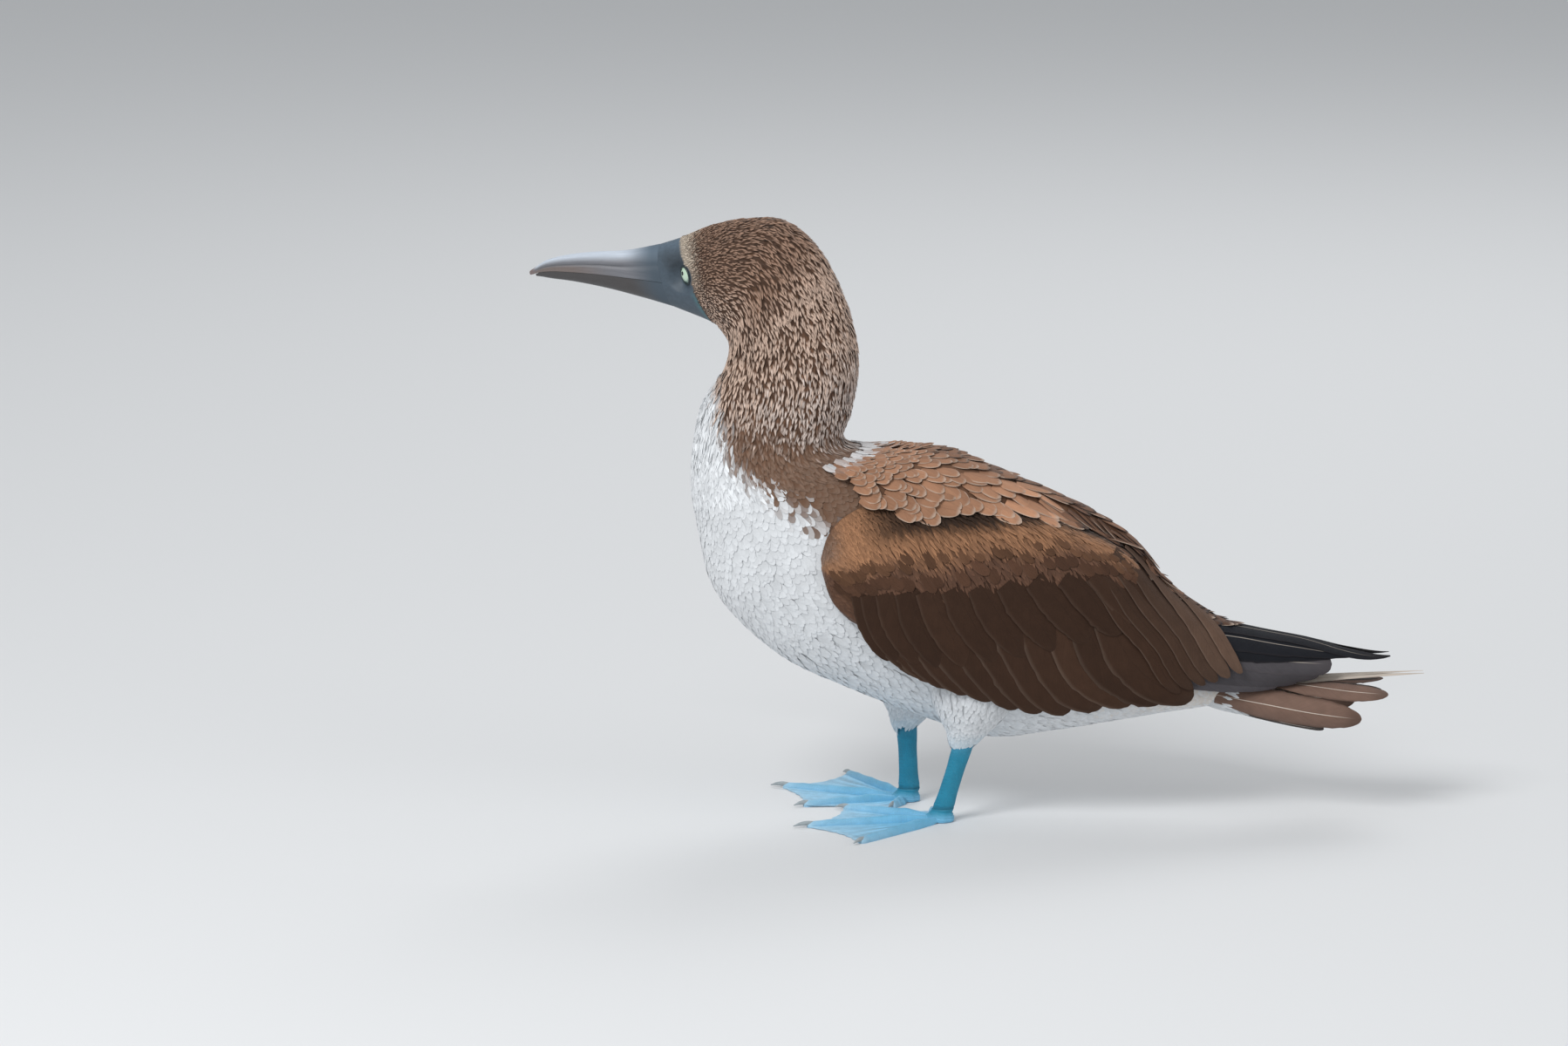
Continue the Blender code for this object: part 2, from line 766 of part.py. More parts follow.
def ankle():
    """The joint between leg and toes, flat above and below."""
    rings = []
    for z, half_depth, half_width, x in ANKLE_RINGS:
        depth = np.array([half_depth, 0.0, 0.0])
        width = np.array([0.0, half_width, 0.0])
        rings.append(oval_ring(np.array([x, 0.0, z]), depth, width, ANKLE_SIDES))
    return loft(rings)


def set_down(solid, x, side, turn):
    """A left foot's solid turned outward and set under a leg, mirrored for the right foot."""
    points, faces = solid
    cos = math.cos(turn)
    sin = math.sin(turn)
    moved = points.copy()
    moved[:, 0] = points[:, 0] * cos - points[:, 1] * sin
    moved[:, 1] = points[:, 0] * sin + points[:, 1] * cos
    if side > 0:
        moved, faces = mirrored((moved, faces))
    return moved + np.array([x, side * LEG_SPREAD, 0.0]), faces


def build_feet(finish, stand):
    feet = ((-1, "foot_left", NEAR_LEG_X[0], 0.0), (1, "foot_right", FAR_LEG_X[0], FAR_FOOT_TURN))
    for side, name, x, turn in feet:
        pieces = [ankle()] + [claw(angle, length, reach) for angle, length, reach in TOES]
        pieces = [set_down(piece, x, side, turn) for piece in pieces]
        fused(name, set_down(foot_sheet(), x, side, turn), pieces, finish, stand)


# Wing, as places in the side view
WING_UPPER = [
    (-110, 183),
    (-105, 199),
    (-93, 212),
    (-70, 221),
    (-12, 225),
    (35, 222),
    (74, 204),
    (101, 186),
    (120, 168),
]
WING_LOWER = [
    (-110, 174),
    (-98, 145),
    (-65, 126),
    (-27, 120),
    (10, 118),
    (45, 124),
    (78, 134),
    (100, 142),
    (118, 150),
]
SECONDARY_ROOTS = [(-76, 140), (-46, 142), (19, 146), (69, 150), (92, 156)]
SECONDARY_TIPS = [(-42, 103), (-23, 96), (9, 85), (38, 77), (79, 80), (125, 85), (165, 89), (189, 94)]
COVERT_ROOTS = [(-83, 158), (-49, 160), (-6, 163), (44, 168), (80, 172), (100, 172)]
COVERT_TIPS = [(-62, 112), (-18, 106), (25, 112), (69, 121), (112, 131), (144, 142)]
PRIMARY_ROOTS = [(88, 166), (80, 159), (72, 152), (66, 146)]
PRIMARY_TIPS = [(292, 112), (268, 110), (240, 105), (211, 97)]
SECONDARY_COUNT = 11
COVERT_COUNT = 9
SECONDARY_WIDTH = 30.0
COVERT_WIDTH = 30.0
PRIMARY_WIDTH = 24.0
PRIMARY_LIFT = 1.1
PRIMARY_LAYER = 1.15
SECONDARY_LIFTS = (6.8, 7.2)
COVERT_LIFTS = (7.6, 10.8)
ROW_TILT = 1.4
WING_SKIRT = 0.6

# Height of the wing's pad over the bed, from its upper border to its lower one
WING_PROFILE = [
    (0.0, 1.8),
    (0.15, 5.0),
    (0.35, 9.6),
    (0.55, 9.8),
    (0.7, 8.4),
    (0.84, 7.4),
    (0.93, 6.2),
    (1.0, 2.0),
]
WING_BORDER = 1.8
WING_END = 0.12
WING_STEPS = (9, 7)


def wing_height(s, v):
    ends = min(1.0, s / WING_END, (1 - s) / WING_END) ** 0.6
    full = float(np.interp(v, [row[0] for row in WING_PROFILE], [row[1] for row in WING_PROFILE]))
    return WING_BORDER + (full - WING_BORDER) * ends


def beside_midline(bed, place, width):
    """The place moved down the side where a blade of this width would cross the bird's midline."""
    u, a = place
    _, _, half_width, _ = bed.section(u)
    return np.array([u, max(a, (width / 2 + MIDLINE_GAP + 0.6) / half_width)])


def feather_row(bed, roots, tips, count, width, lifts, form):
    """Evenly spread blades from a line of roots to a line of tips, each over the one before it."""
    solids = []
    for root, tip in zip(spread(roots, count), spread(tips, count)):
        start = beside_midline(bed, bed.find(*root), width)
        end = beside_midline(bed, bed.find(*tip), width)
        solids.append(vane(bed, start, end, width, lifts, ROW_TILT, form))
    return solids


def wing_solids(bed):
    """The left wing's pad, then its flight feathers and greater coverts."""
    solids = [pad(bed, curve_on(bed, WING_UPPER), curve_on(bed, WING_LOWER), wing_height, WING_STEPS)]
    for k, (root, tip) in enumerate(zip(PRIMARY_ROOTS, PRIMARY_TIPS)):
        level = PRIMARY_LIFT + PRIMARY_LAYER * k
        start = beside_midline(bed, bed.find(*root), PRIMARY_WIDTH)
        solids.append(vane(bed, start, bed.find(*tip), PRIMARY_WIDTH, (level, level), 0.0, POINTED_BLADE))
    rows = (
        (SECONDARY_ROOTS, SECONDARY_TIPS, SECONDARY_COUNT, SECONDARY_WIDTH, SECONDARY_LIFTS, LONG_BLADE),
        (COVERT_ROOTS, COVERT_TIPS, COVERT_COUNT, COVERT_WIDTH, COVERT_LIFTS, SHORT_BLADE),
    )
    for row in rows:
        solids += feather_row(bed, *row)
    return [kept_left(solid) for solid in solids]


def build_wings(bed, finish, stand):
    left = wing_solids(bed)
    fused("wing_left", left[0], left[1:], finish, stand)
    right = [mirrored(solid) for solid in left]
    fused("wing_right", right[0], right[1:], finish, stand)


# Mantle: the pad between the wings, and rows of feathers across it
MANTLE_FRONT = 1.25
MANTLE_REAR = 5.3
MANTLE_THICK = 4.6
MANTLE_BORDER = 1.6
MANTLE_GAP = 0.035
MANTLE_MOST = math.radians(54.0)
MANTLE_ROWS = 5
MANTLE_WIDTH = 27.0
MANTLE_SPACING = 19.0
MANTLE_LENGTH = 1.2
MANTLE_FLARE = 1.1
MANTLE_LIFTS = (2.6, 7.2)
MANTLE_TILT = 1.1
MANTLE_STEPS = (8, 10)
MANTLE_EDGE = 6.0
MANTLE_FIRST_ROW = 0.2
MANTLE_LAST_ROW = 0.3


def mantle_reach(bed):
    """The angle down to which the pad between the wings reaches, as a function of the station."""
    border = curve_on(bed, WING_UPPER)
    places = [border(k / 40) for k in range(8, 34)]
    stops = [place[0] for place in places]
    angles = [place[1] - MANTLE_GAP for place in places]
    return lambda u: min(max(float(np.interp(u, stops, angles)), 0.1), MANTLE_MOST)


def mantle_height(s, v):
    ends = min(1.0, s / 0.15, (1 - s) / 0.15) ** 0.5
    edges = math.sin(math.pi / 2 * min(1.0, v / 0.3, (1 - v) / 0.3)) ** 0.6
    return MANTLE_BORDER + (MANTLE_THICK - MANTLE_BORDER) * ends * edges


def mantle_solids(bed):
    reach = mantle_reach(bed)

    def border(side):
        def place(s):
            u = MANTLE_FRONT + (MANTLE_REAR - MANTLE_FRONT) * s
            return np.array([u, side * reach(u)])
        return place

    solids = [pad(bed, border(-1), border(1), mantle_height, MANTLE_STEPS)]
    step = (MANTLE_REAR - MANTLE_FRONT - MANTLE_FIRST_ROW - MANTLE_LAST_ROW) / MANTLE_ROWS
    for row in range(MANTLE_ROWS):
        u = MANTLE_FRONT + MANTLE_FIRST_ROW + step * row
        _, _, half_width, _ = bed.section(u)
        columns = int(max(reach(u) * half_width - MANTLE_EDGE, 0) // MANTLE_SPACING)
        for column in range(columns + 1):
            a = column * MANTLE_SPACING / half_width
            root = np.array([u, a])
            tip = np.array([u + MANTLE_LENGTH, a * MANTLE_FLARE])
            tilt = MANTLE_TILT if column else 0.0
            raised = 0.0 if column else MANTLE_TILT
            lifts = (MANTLE_LIFTS[0] + raised, MANTLE_LIFTS[1] + raised)
            feather = vane(bed, root, tip, MANTLE_WIDTH, lifts, tilt, SHORT_BLADE)
            solids.append(feather)
            if column:
                solids.append(mirrored(feather))
    return solids


def build_mantle(bed, finish, stand):
    solids = mantle_solids(bed)
    fused("mantle", solids[0], solids[1:], finish, stand)


# Tail: a core of coverts and a fan of feathers, each with the place of its tip
TAIL_TIPS = [293, 290, 284, 275, 258]
TAIL_FIRST_ANGLE = 36.0
TAIL_ANGLE_STEP = 19.0
TAIL_WIDTH = 25.0
TAIL_TILT = 2.6
TAIL_LIFTS = (-3.7, -1.7)
CENTRAL_TIP = 317
CENTRAL_WIDTH = 20.0
CENTRAL_ANGLE = 7.0
CENTRAL_LEVELS = (1.4, 2.6)
CENTRAL_RISE = 4.0
TAIL_ROOT = 0.25
TAIL_SKIRT = 0.75
TAIL_CORE_END = 1.5
TAIL_CORE_DEPTH = 7.0
TAIL_CORE_SIDES = 20


def tail_core(fan):
    """Tail coverts as one tapering form behind the rump."""
    rings = [section_ring(fan, 0, TAIL_CORE_SIDES, FACE_GAP / 2)]
    for u in stations(0, TAIL_CORE_END, 4)[1:]:
        depth = TAIL_CORE_DEPTH * (u / TAIL_CORE_END) ** 1.3
        turns = [2 * math.pi * k / TAIL_CORE_SIDES for k in range(TAIL_CORE_SIDES)]
        rings.append([fan.point(u, a, -depth) for a in turns])
    return loft(rings)


def tail_solids(fan):
    solids = [tail_core(fan)]
    for k, reach in enumerate(TAIL_TIPS):
        a = math.radians(TAIL_FIRST_ANGLE + TAIL_ANGLE_STEP * k)
        tip = np.array([fan.station_at(reach, a), a])
        feather = vane(fan, np.array([TAIL_ROOT, a]), tip, TAIL_WIDTH, TAIL_LIFTS, TAIL_TILT, FAN_BLADE)
        solids += [feather, mirrored(feather)]
    for side, level in zip((1, -1), CENTRAL_LEVELS):
        a = side * math.radians(CENTRAL_ANGLE)
        tip = np.array([fan.station_at(CENTRAL_TIP, a), a])
        root = np.array([TAIL_ROOT, a])
        lifts = (level - CENTRAL_RISE, level)
        solids.append(vane(fan, root, tip, CENTRAL_WIDTH, lifts, 0.0, POINTED_BLADE))
    return solids


def build_tail(finish, stand):
    solids = tail_solids(Surface(TAIL_ROWS, TAIL_SKIRT))
    fused("tail", solids[0], solids[1:], finish, stand)


def main():
    for old in list(bpy.data.objects):
        bpy.data.objects.remove(old)
    stand = bpy.data.objects.new("booby", None)
    stand.location = (-CENTRE_X * MM, -CENTRE_Y * MM, 0.0)
    bpy.context.scene.collection.objects.link(stand)

    brown = material("brown_feathers", (0.10, 0.055, 0.032), 0.8)
    streaked = material("streaked_feathers", (0.16, 0.10, 0.07), 0.85)
    white = material("white_feathers", (0.72, 0.73, 0.74), 0.85)
    dark = material("tail_feathers", (0.17, 0.11, 0.08), 0.75)
    horn = material("bill_horn", (0.20, 0.24, 0.29), 0.45)
    glass = material("eye_glass", (0.55, 0.62, 0.42), 0.08)
    leg_skin = material("leg_skin", (0.0, 0.26, 0.38), 0.5)
    foot_skin = material("foot_skin", (0.03, 0.30, 0.68), 0.45)

    body = Surface(HEAD_ROWS + NECK_ROWS + TRUNK_ROWS + RUMP_ROWS)
    bed = Surface(NECK_ROWS[-1:] + TRUNK_ROWS + FOLDED_WING_ROWS, WING_SKIRT)
    build_head(body, streaked, stand)
    build_bill(horn, stand)
    build_eyes(glass, stand)
    neck = body_part(body, NAPE_STATION, NECK_ROOT_STATION, 2, TRUNK_SIDES, FACE_GAP, FACE_GAP)
    place("neck", mesh_of("neck", neck), streaked, stand)
    build_torso(body, white, stand)
    build_mantle(bed, brown, stand)
    build_wings(bed, brown, stand)
    build_tail(dark, stand)
    build_legs(leg_skin, stand)
    build_feet(foot_skin, stand)


if __name__ == "__main__":
    main()
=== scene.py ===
"""Blue-footed booby, life size: skin, feathers, bill, eyes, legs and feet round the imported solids.

The bird faces -X, its left side is -Y and +Z is up. Shapes are worked out in millimetres.
"""

import json
import math
from types import SimpleNamespace

import bpy
import numpy as np
from bpy.props import FloatProperty, FloatVectorProperty, IntProperty, PointerProperty
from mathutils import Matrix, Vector

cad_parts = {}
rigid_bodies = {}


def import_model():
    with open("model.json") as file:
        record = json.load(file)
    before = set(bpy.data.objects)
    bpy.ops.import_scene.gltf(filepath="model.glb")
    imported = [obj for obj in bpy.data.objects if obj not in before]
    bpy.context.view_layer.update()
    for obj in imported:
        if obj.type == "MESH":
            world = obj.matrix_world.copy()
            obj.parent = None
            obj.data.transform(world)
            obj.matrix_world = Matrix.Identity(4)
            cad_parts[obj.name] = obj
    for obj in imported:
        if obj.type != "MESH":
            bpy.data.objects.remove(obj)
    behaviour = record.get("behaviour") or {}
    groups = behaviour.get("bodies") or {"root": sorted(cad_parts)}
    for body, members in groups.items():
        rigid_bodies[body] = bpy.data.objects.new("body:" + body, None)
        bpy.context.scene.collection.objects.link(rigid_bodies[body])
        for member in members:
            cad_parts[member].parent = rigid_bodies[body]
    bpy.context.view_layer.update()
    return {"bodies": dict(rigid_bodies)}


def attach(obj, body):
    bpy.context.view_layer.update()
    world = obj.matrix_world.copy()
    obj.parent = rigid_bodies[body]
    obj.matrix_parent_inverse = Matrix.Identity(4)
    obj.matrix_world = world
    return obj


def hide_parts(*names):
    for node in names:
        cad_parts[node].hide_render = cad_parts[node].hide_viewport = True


bl_info = {
    "name": "Blue-footed booby",
    "version": (1, 0, 0),
    "blender": (4, 5, 0),
    "location": "3D View > Sidebar > Booby",
    "description": "Skin, feathers, bill, eyes, legs, feet and studio of a life-size blue-footed booby",
    "category": "Object",
}

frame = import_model()
BODY = next(iter(frame["bodies"]))

MM = 0.001
TURN = 2 * math.pi

# Photograph: millimetres to a pixel, its size and the pixel over the bird's origin
PHOTO_SCALE = 0.62
PHOTO_SIZE = (1798, 1200)
PHOTO_ORIGIN = (1119, 930)

# The bird's own origin in the frame
CENTRE_X = 0.14
CENTRE_Y = 5.76

# Head, turned to the bird's right about a vertical line through the neck
HEAD_TURN = math.radians(20.0)
HEAD_AXIS_X = -136.0
VIEW_ANGLE = math.radians(11.0)
VIEW_SLOPE = math.tan(VIEW_ANGLE)
WING_STANDS_OUT = 8.0

# Sections from the bill root back to the tail root: the lowest point (x, z), the highest point (x, z),
# the half width, and the share of the head's turn
HEAD_ROWS = [
    (-220, 365, -230, 409, 11.5, 1.0),
    (-187, 352, -213, 414, 18.5, 1.0),
    (-178, 343, -192, 422, 25.5, 1.0),
    (-174, 335, -165, 426.5, 28.5, 1.0),
    (-175, 327, -136, 424, 30.0, 1.0),
    (-180, 317, -111, 403, 31.0, 1.0),
]
NECK_ROWS = [
    (-186, 311, -94, 371, 32.0, 0.85),
    (-192, 302, -86, 344, 35.0, 0.65),
    (-197, 289, -84, 319, 39.0, 0.4),
    (-200, 272, -89, 289, 44.0, 0.2),
    (-202, 253, -94, 270, 49.0, 0.0),
]
TRUNK_ROWS = [
    (-202, 230, -76, 262, 55.0, 0.0),
    (-197, 201, -49, 257, 60.0, 0.0),
    (-189, 167, -19, 250, 62.0, 0.0),
    (-169, 139, 12, 237, 63.0, 0.0),
    (-134, 110, 43, 222, 62.0, 0.0),
    (-91, 90, 74, 205, 59.0, 0.0),
    (-43, 71, 101, 187, 54.0, 0.0),
    (7, 55, 123, 163, 47.0, 0.0),
]
RUMP_ROWS = [
    (53, 59, 139, 137, 37.0, 0.0),
    (97, 66, 152, 119, 28.0, 0.0),
    (134, 72, 165, 109, 21.0, 0.0),
    (162, 76, 176, 101, 15.0, 0.0),
]
FOLDED_WING_ROWS = [
    (53, 62, 147, 145, 41.0, 0.0),
    (97, 68, 171, 134, 35.0, 0.0),
    (140, 77, 199, 127, 29.0, 0.0),
    (187, 86, 231, 121, 22.0, 0.0),
    (233, 96, 262, 114, 14.0, 0.0),
    (280, 106, 294, 110, 7.0, 0.0),
    (323, 111, 325, 113, 3.0, 0.0),
]
TAIL_ROWS = [
    (162, 76, 176, 101, 15.0, 0.0),
    (202, 65, 208, 97, 22.0, 0.0),
    (249, 56, 258, 98, 32.0, 0.0),
    (292, 52, 317, 99, 40.0, 0.0),
]
BILL_ROWS = [
    (-220, 365, -230, 409, 11.5, 1.0),
    (-241, 371, -255, 405, 9.6, 1.0),
    (-268, 378, -281, 404, 8.0, 1.0),
    (-293, 383, -301, 402, 6.2, 1.0),
    (-311, 385.5, -314, 399, 4.6, 1.0),
    (-320, 387, -321, 395.5, 3.2, 1.0),
    (-327, 387.5, -328, 391, 1.4, 1.0),
]
MOUTH_LEVELS = [-0.18, -0.12, -0.16, -0.2, -0.2, -0.3, -0.6]
FEATHER_LINE = 1.0
TAIL_ROOT = 22.0
LOWER_BILL_END = 5.35
GROOVE_ANGLE = math.radians(68.0)
GROOVE_DEPTH = 0.7
MOUTH_GAP = 0.15
BILL_HOLLOW = 0.9

# Eyes
EYE_CENTRE = (-202.3, -13.2, 389.4)
EYE_RADIUS = 7.4
EYE_FORWARD = math.radians(43.0)
EYE_DOWN = 0.17
EYE_POLE = 5.5
LID_RADIUS = 7.0
LID_HEIGHT = 3.3
ORBIT_RADIUS = 14.0
EYE_BEHIND = -6.0
EYE_SIDES = 96
RIM_SIDES = 20
RIM_SEED = 5

# Thigh rings from the belly down: front x and back x from the leg, height over its top, half width
THIGH_RINGS = [
    (-38, 38, 54, 23.0),
    (-36, 36, 38, 22.5),
    (-26, 26, 20, 17.5),
    (-17, 17, 8, 12.5),
    (-12.5, 12.5, 0, 9.0),
]
THIGH_BACK = 3.0
# Bluish painted shade on the lower thighs, over the bare legs
PAINTED_THIGH_SHADE = (0.45, 0.62, 0.72)
THIGH_COLUMNS = 44

# Legs, feet and claws
LEG_SPREAD = 33.0
ANKLE_TOP = 9.2
LEG_TOP = 58.0
NEAR_LEG_X = (-24.0, -9.0)
FAR_LEG_X = (-47.0, -49.0)
SIDES = ((-1, "left", NEAR_LEG_X, 0.0), (1, "right", FAR_LEG_X, math.radians(12.0)))
LEG_RINGS = [(7.4, 5.5), (6.5, 4.8), (6.3, 4.5), (6.3, 4.5), (6.8, 4.9), (7.0, 5.0)]
TOES = [(50.0, 92.0, 7.0), (12.0, 98.0, 10.0), (-27.0, 78.0, 7.0), (-75.0, 28.0, 5.0)]
TOE_RADII = [(0.0, 2.6), (0.25, 3.7), (1.0, 2.7)]
TOE_START = 9.0
TOE_ARCH = 1.7
WEB_THICK = 1.5
WEB_CLEARANCE = 0.35
WEB_DIP = 0.1
ANKLE_RINGS = [
    (0.0, 11.5, 9.5, -2.5),
    (1.2, 12.3, 10.3, -2.5),
    (3.4, 12.2, 10.2, -2.4),
    (6.3, 10.0, 8.0, -1.6),
    (9.4, 7.5, 5.5, 0.1),
]
CLAW_RINGS = [(0.0, 2.3, 1.7), (0.35, 2.7, 1.6), (0.7, 2.3, 1.1), (1.0, 1.2, 0.4)]
CLAW_INSIDE = 4.0

# Wing, as places in the side view
WING_UPPER = [
    (-110, 183), (-105, 199), (-93, 212), (-70, 221), (-12, 225),
    (35, 222), (74, 204), (101, 186), (120, 168),
]
WING_LOWER = [
    (-110, 174), (-98, 145), (-65, 126), (-27, 120), (10, 118),
    (45, 124), (78, 134), (100, 142), (118, 150),
]
WING_PROFILE = [(0, 1.8), (0.15, 5), (0.35, 9.6), (0.55, 9.8), (0.7, 8.4), (0.84, 7.4), (0.93, 6.2), (1, 2)]
WING_BORDER = 1.8
WING_END = 0.12

# Wing feathers: columns and rows of the small coverts, the count of secondaries and of greater coverts, and
# the width of the secondaries by number
SMALL_COVERTS = (120, 44)
FLIGHT_BLADES = 12
FLIGHT_WIDTHS = [(0, 19.0), (3, 29.0)]
SECONDARY_ROOTS = [(-76, 140), (-46, 142), (19, 146), (62, 150), (84, 158)]
SECONDARY_TIPS = [(-36, 101), (-20, 95), (9, 85), (38, 77), (79, 80), (125, 85), (152, 87)]
INNER_TERTIAL = [(1236, 652), (1275, 697), (1315, 745), (1350, 793)]
OUTER_TERTIAL = [(1300, 618), (1343, 664), (1385, 717), (1420, 770)]
TERTIAL_WEAR = [0, 0.1, 0.25, 0.5, 0.9, 1.0]
COVERT_ROOTS = [(-83, 158), (-49, 160), (-6, 163), (44, 168), (80, 172), (100, 172)]
COVERT_TIPS = [(-62, 112), (-18, 106), (25, 112), (69, 121), (112, 131), (144, 142)]
PRIMARY_LINES = [
    [(1352, 706), (1430, 722), (1510, 739), (1591, 753)],
    [(1346, 717), (1415, 731), (1480, 742), (1562, 752)],
    [(1341, 727), (1400, 738), (1455, 747), (1532, 753)],
]
WORN_LINES = [
    [(1336, 737), (1395, 749), (1455, 757), (1523, 761)],
    [(1333, 747), (1390, 760), (1445, 767), (1509, 770)],
    [(1330, 758), (1385, 770), (1435, 775), (1486, 777)],
    [(1328, 769), (1380, 780), (1425, 783), (1463, 782)],
]
WING_SKIRT = 0.6
MIDLINE_GAP = 0.4

# How far round the back the roots of the scapulars reach, in degrees from the midline, by station of the bed
SCAPULAR_REACH = [
    (1.6, 50), (2.3, 60), (2.9, 60), (3.5, 49), (4.05, 38),
    (4.6, 27), (5.2, 17), (5.8, 10), (6.6, 6),
]

# How far the ruffled feathers of the back stand over its midline, by station of the bed
RIDGE = [
    (1.3, 0.0), (2.0, 3.5), (3.0, 6.5), (4.0, 6.0), (5.0, 7.5),
    (6.0, 9.5), (7.0, 10.5), (8.0, 6.5), (9.0, 3.5), (10.2, 0.0),
]

# Mantle: first and last stations of its bed and of its rows, and by station the size of its feathers and how
# far their rows reach past the bed
MANTLE_BED = (1.25, 8.8)
MANTLE_ROWS = (0.75, 9.9)
MANTLE_SIZES = [(0.75, 4.0), (1.8, 5.4), (3.0, 8.0), (4.0, 9.8), (4.6, 8.0), (9.0, 7.0)]
MANTLE_PAST = [(0.75, 6.0), (1.2, 7.0), (1.8, 7.0), (2.6, 4.0), (4.0, 1.0), (4.6, 0.0)]

# Station at which the brown collar begins, by degrees from the top of the section
COLLAR = [(0, 10.1), (28, 9.6), (62, 9.3), (90, 8.9), (111, 8.5), (140, 8.2)]

# Degrees from the top of the section at which the white front begins, by station
WHITE_FRONT = [
    (1, 168), (3, 172), (5, 163), (5.6, 150), (7, 141), (7.9, 134), (8.9, 125),
    (9.5, 119), (10.2, 109), (11, 97), (11.7, 92), (12.5, 88), (13, 76),
]

# Tail feathers: the lines of the near ones in the photograph, from the middle of the fan outward
TAIL_LINES = [
    [(1438, 776), (1489, 784), (1538, 791), (1587, 795)],
    [(1386, 795), (1442, 806), (1500, 817), (1556, 824)],
    [(1430, 768), (1482, 776), (1534, 782), (1580, 787)],
    [(1380, 807), (1430, 822), (1475, 833), (1514, 839)],
]
TAIL_SKIRT = 0.75
CENTRAL_TIP = 317
COVERTS_END = 1.5

# Studio, in metres: the camera's sensor in millimetres, how far it sees, the floor, and the lamps with their
# places, sizes and watts
SENSOR = 36.0
VIEW_END = 200.0
FLOOR_RADIUS = 60.0
BACKDROP_STRENGTH = 0.6
LAMP_AIM = (0.0, 0.0, 0.2)
LAMPS = (
    ("key", (-1.6, -2.2, 2.6), 1.4, 75.0),
    ("fill", (2.4, -1.6, 1.4), 2.0, 14.0),
    ("back", (0.6, 2.4, 2.4), 1.6, 26.0),
)

# Feather outlines: place along the blade and share of its width
LANCE = [(0.0, 0.6), (0.3, 1.0), (0.58, 0.9), (0.82, 0.52), (1.0, 0.06)]
TUFT = [(0.0, 0.55), (0.3, 0.95), (0.6, 1.0), (0.85, 0.7), (1.0, 0.1)]
ROUND_TUFT = [(0.0, 0.6), (0.3, 0.9), (0.62, 1.0), (0.86, 0.8), (1.0, 0.25)]
POINTED = [(0.0, 0.8), (0.18, 0.95), (0.36, 1.0), (0.54, 0.86), (0.7, 0.62), (0.86, 0.34), (1.0, 0.05)]


def catmull(rows, u):
    """A smooth curve through the rows at the places u, running straight on past either end."""
    rows = np.asarray(rows, float)
    padded = np.vstack([2 * rows[0] - rows[1], rows, 2 * rows[-1] - rows[-2]])
    u = np.asarray(u, float)
    i = np.clip(np.floor(u).astype(int), 0, len(rows) - 2)
    t = (u - i)[..., None]
    p0, p1, p2, p3 = (padded[i + k] for k in range(4))
    bend = (2 * p0 - 5 * p1 + 4 * p2 - p3) * t**2 + (3 * p1 - p0 - 3 * p2 + p3) * t**3
    return 0.5 * (2 * p1 + (p2 - p0) * t + bend)


def at(rows, place):
    """The value at a place between rows of a place and a value."""
    return np.interp(place, *np.array(rows, float).T)


def paired(first, second):
    """Two values of each place, side by side."""
    return np.stack(np.broadcast_arrays(first, second), -1)


def grid(first, second):
    """Two arrays of values as a grid, the first along its rows."""
    return np.meshgrid(first, second, indexing="ij")


def circle(count, start=0.0):
    """Angles evenly round a circle, without the last, which is the first again."""
    return np.linspace(start, start + TURN, count, endpoint=False)


def from_top(a):
    """Degrees from the highest line of a section, on either side."""
    return np.abs(np.degrees((a + math.pi) % TURN - math.pi))


def bell(value, width):
    """1 at no value, falling softly to nothing on both sides."""
    return np.exp(-((value / width) ** 2))


def unit(vectors):
    """The vectors at a length of 1."""
    return vectors / np.maximum(np.linalg.norm(vectors, axis=-1, keepdims=True), 1e-9)


def smooth(low, high, value):
    """0 below low, 1 above high and a soft step between."""
    t = np.clip((value - low) / (high - low), 0.0, 1.0)
    return t * t * (3 - 2 * t)


def blend(first, second, share):
    """A colour or number between two, by a share that may be an array."""
    first = np.asarray(first, float)
    second = np.asarray(second, float)
    share = np.asarray(share, float)
    if first.ndim or second.ndim:
        share = share[..., None]
    return first + (second - first) * share


def turned(points, share):
    """Points turned with the head, which also nods down as far as it turns away."""
    angle = HEAD_TURN * share
    x = points[..., 0] - HEAD_AXIS_X
    y = points[..., 1]
    cos = np.cos(angle)
    sin = np.sin(angle)
    nod = x * sin * VIEW_SLOPE
    return np.stack([HEAD_AXIS_X + x * cos + y * sin, -x * sin + y * cos, points[..., 2] + nod], -1)


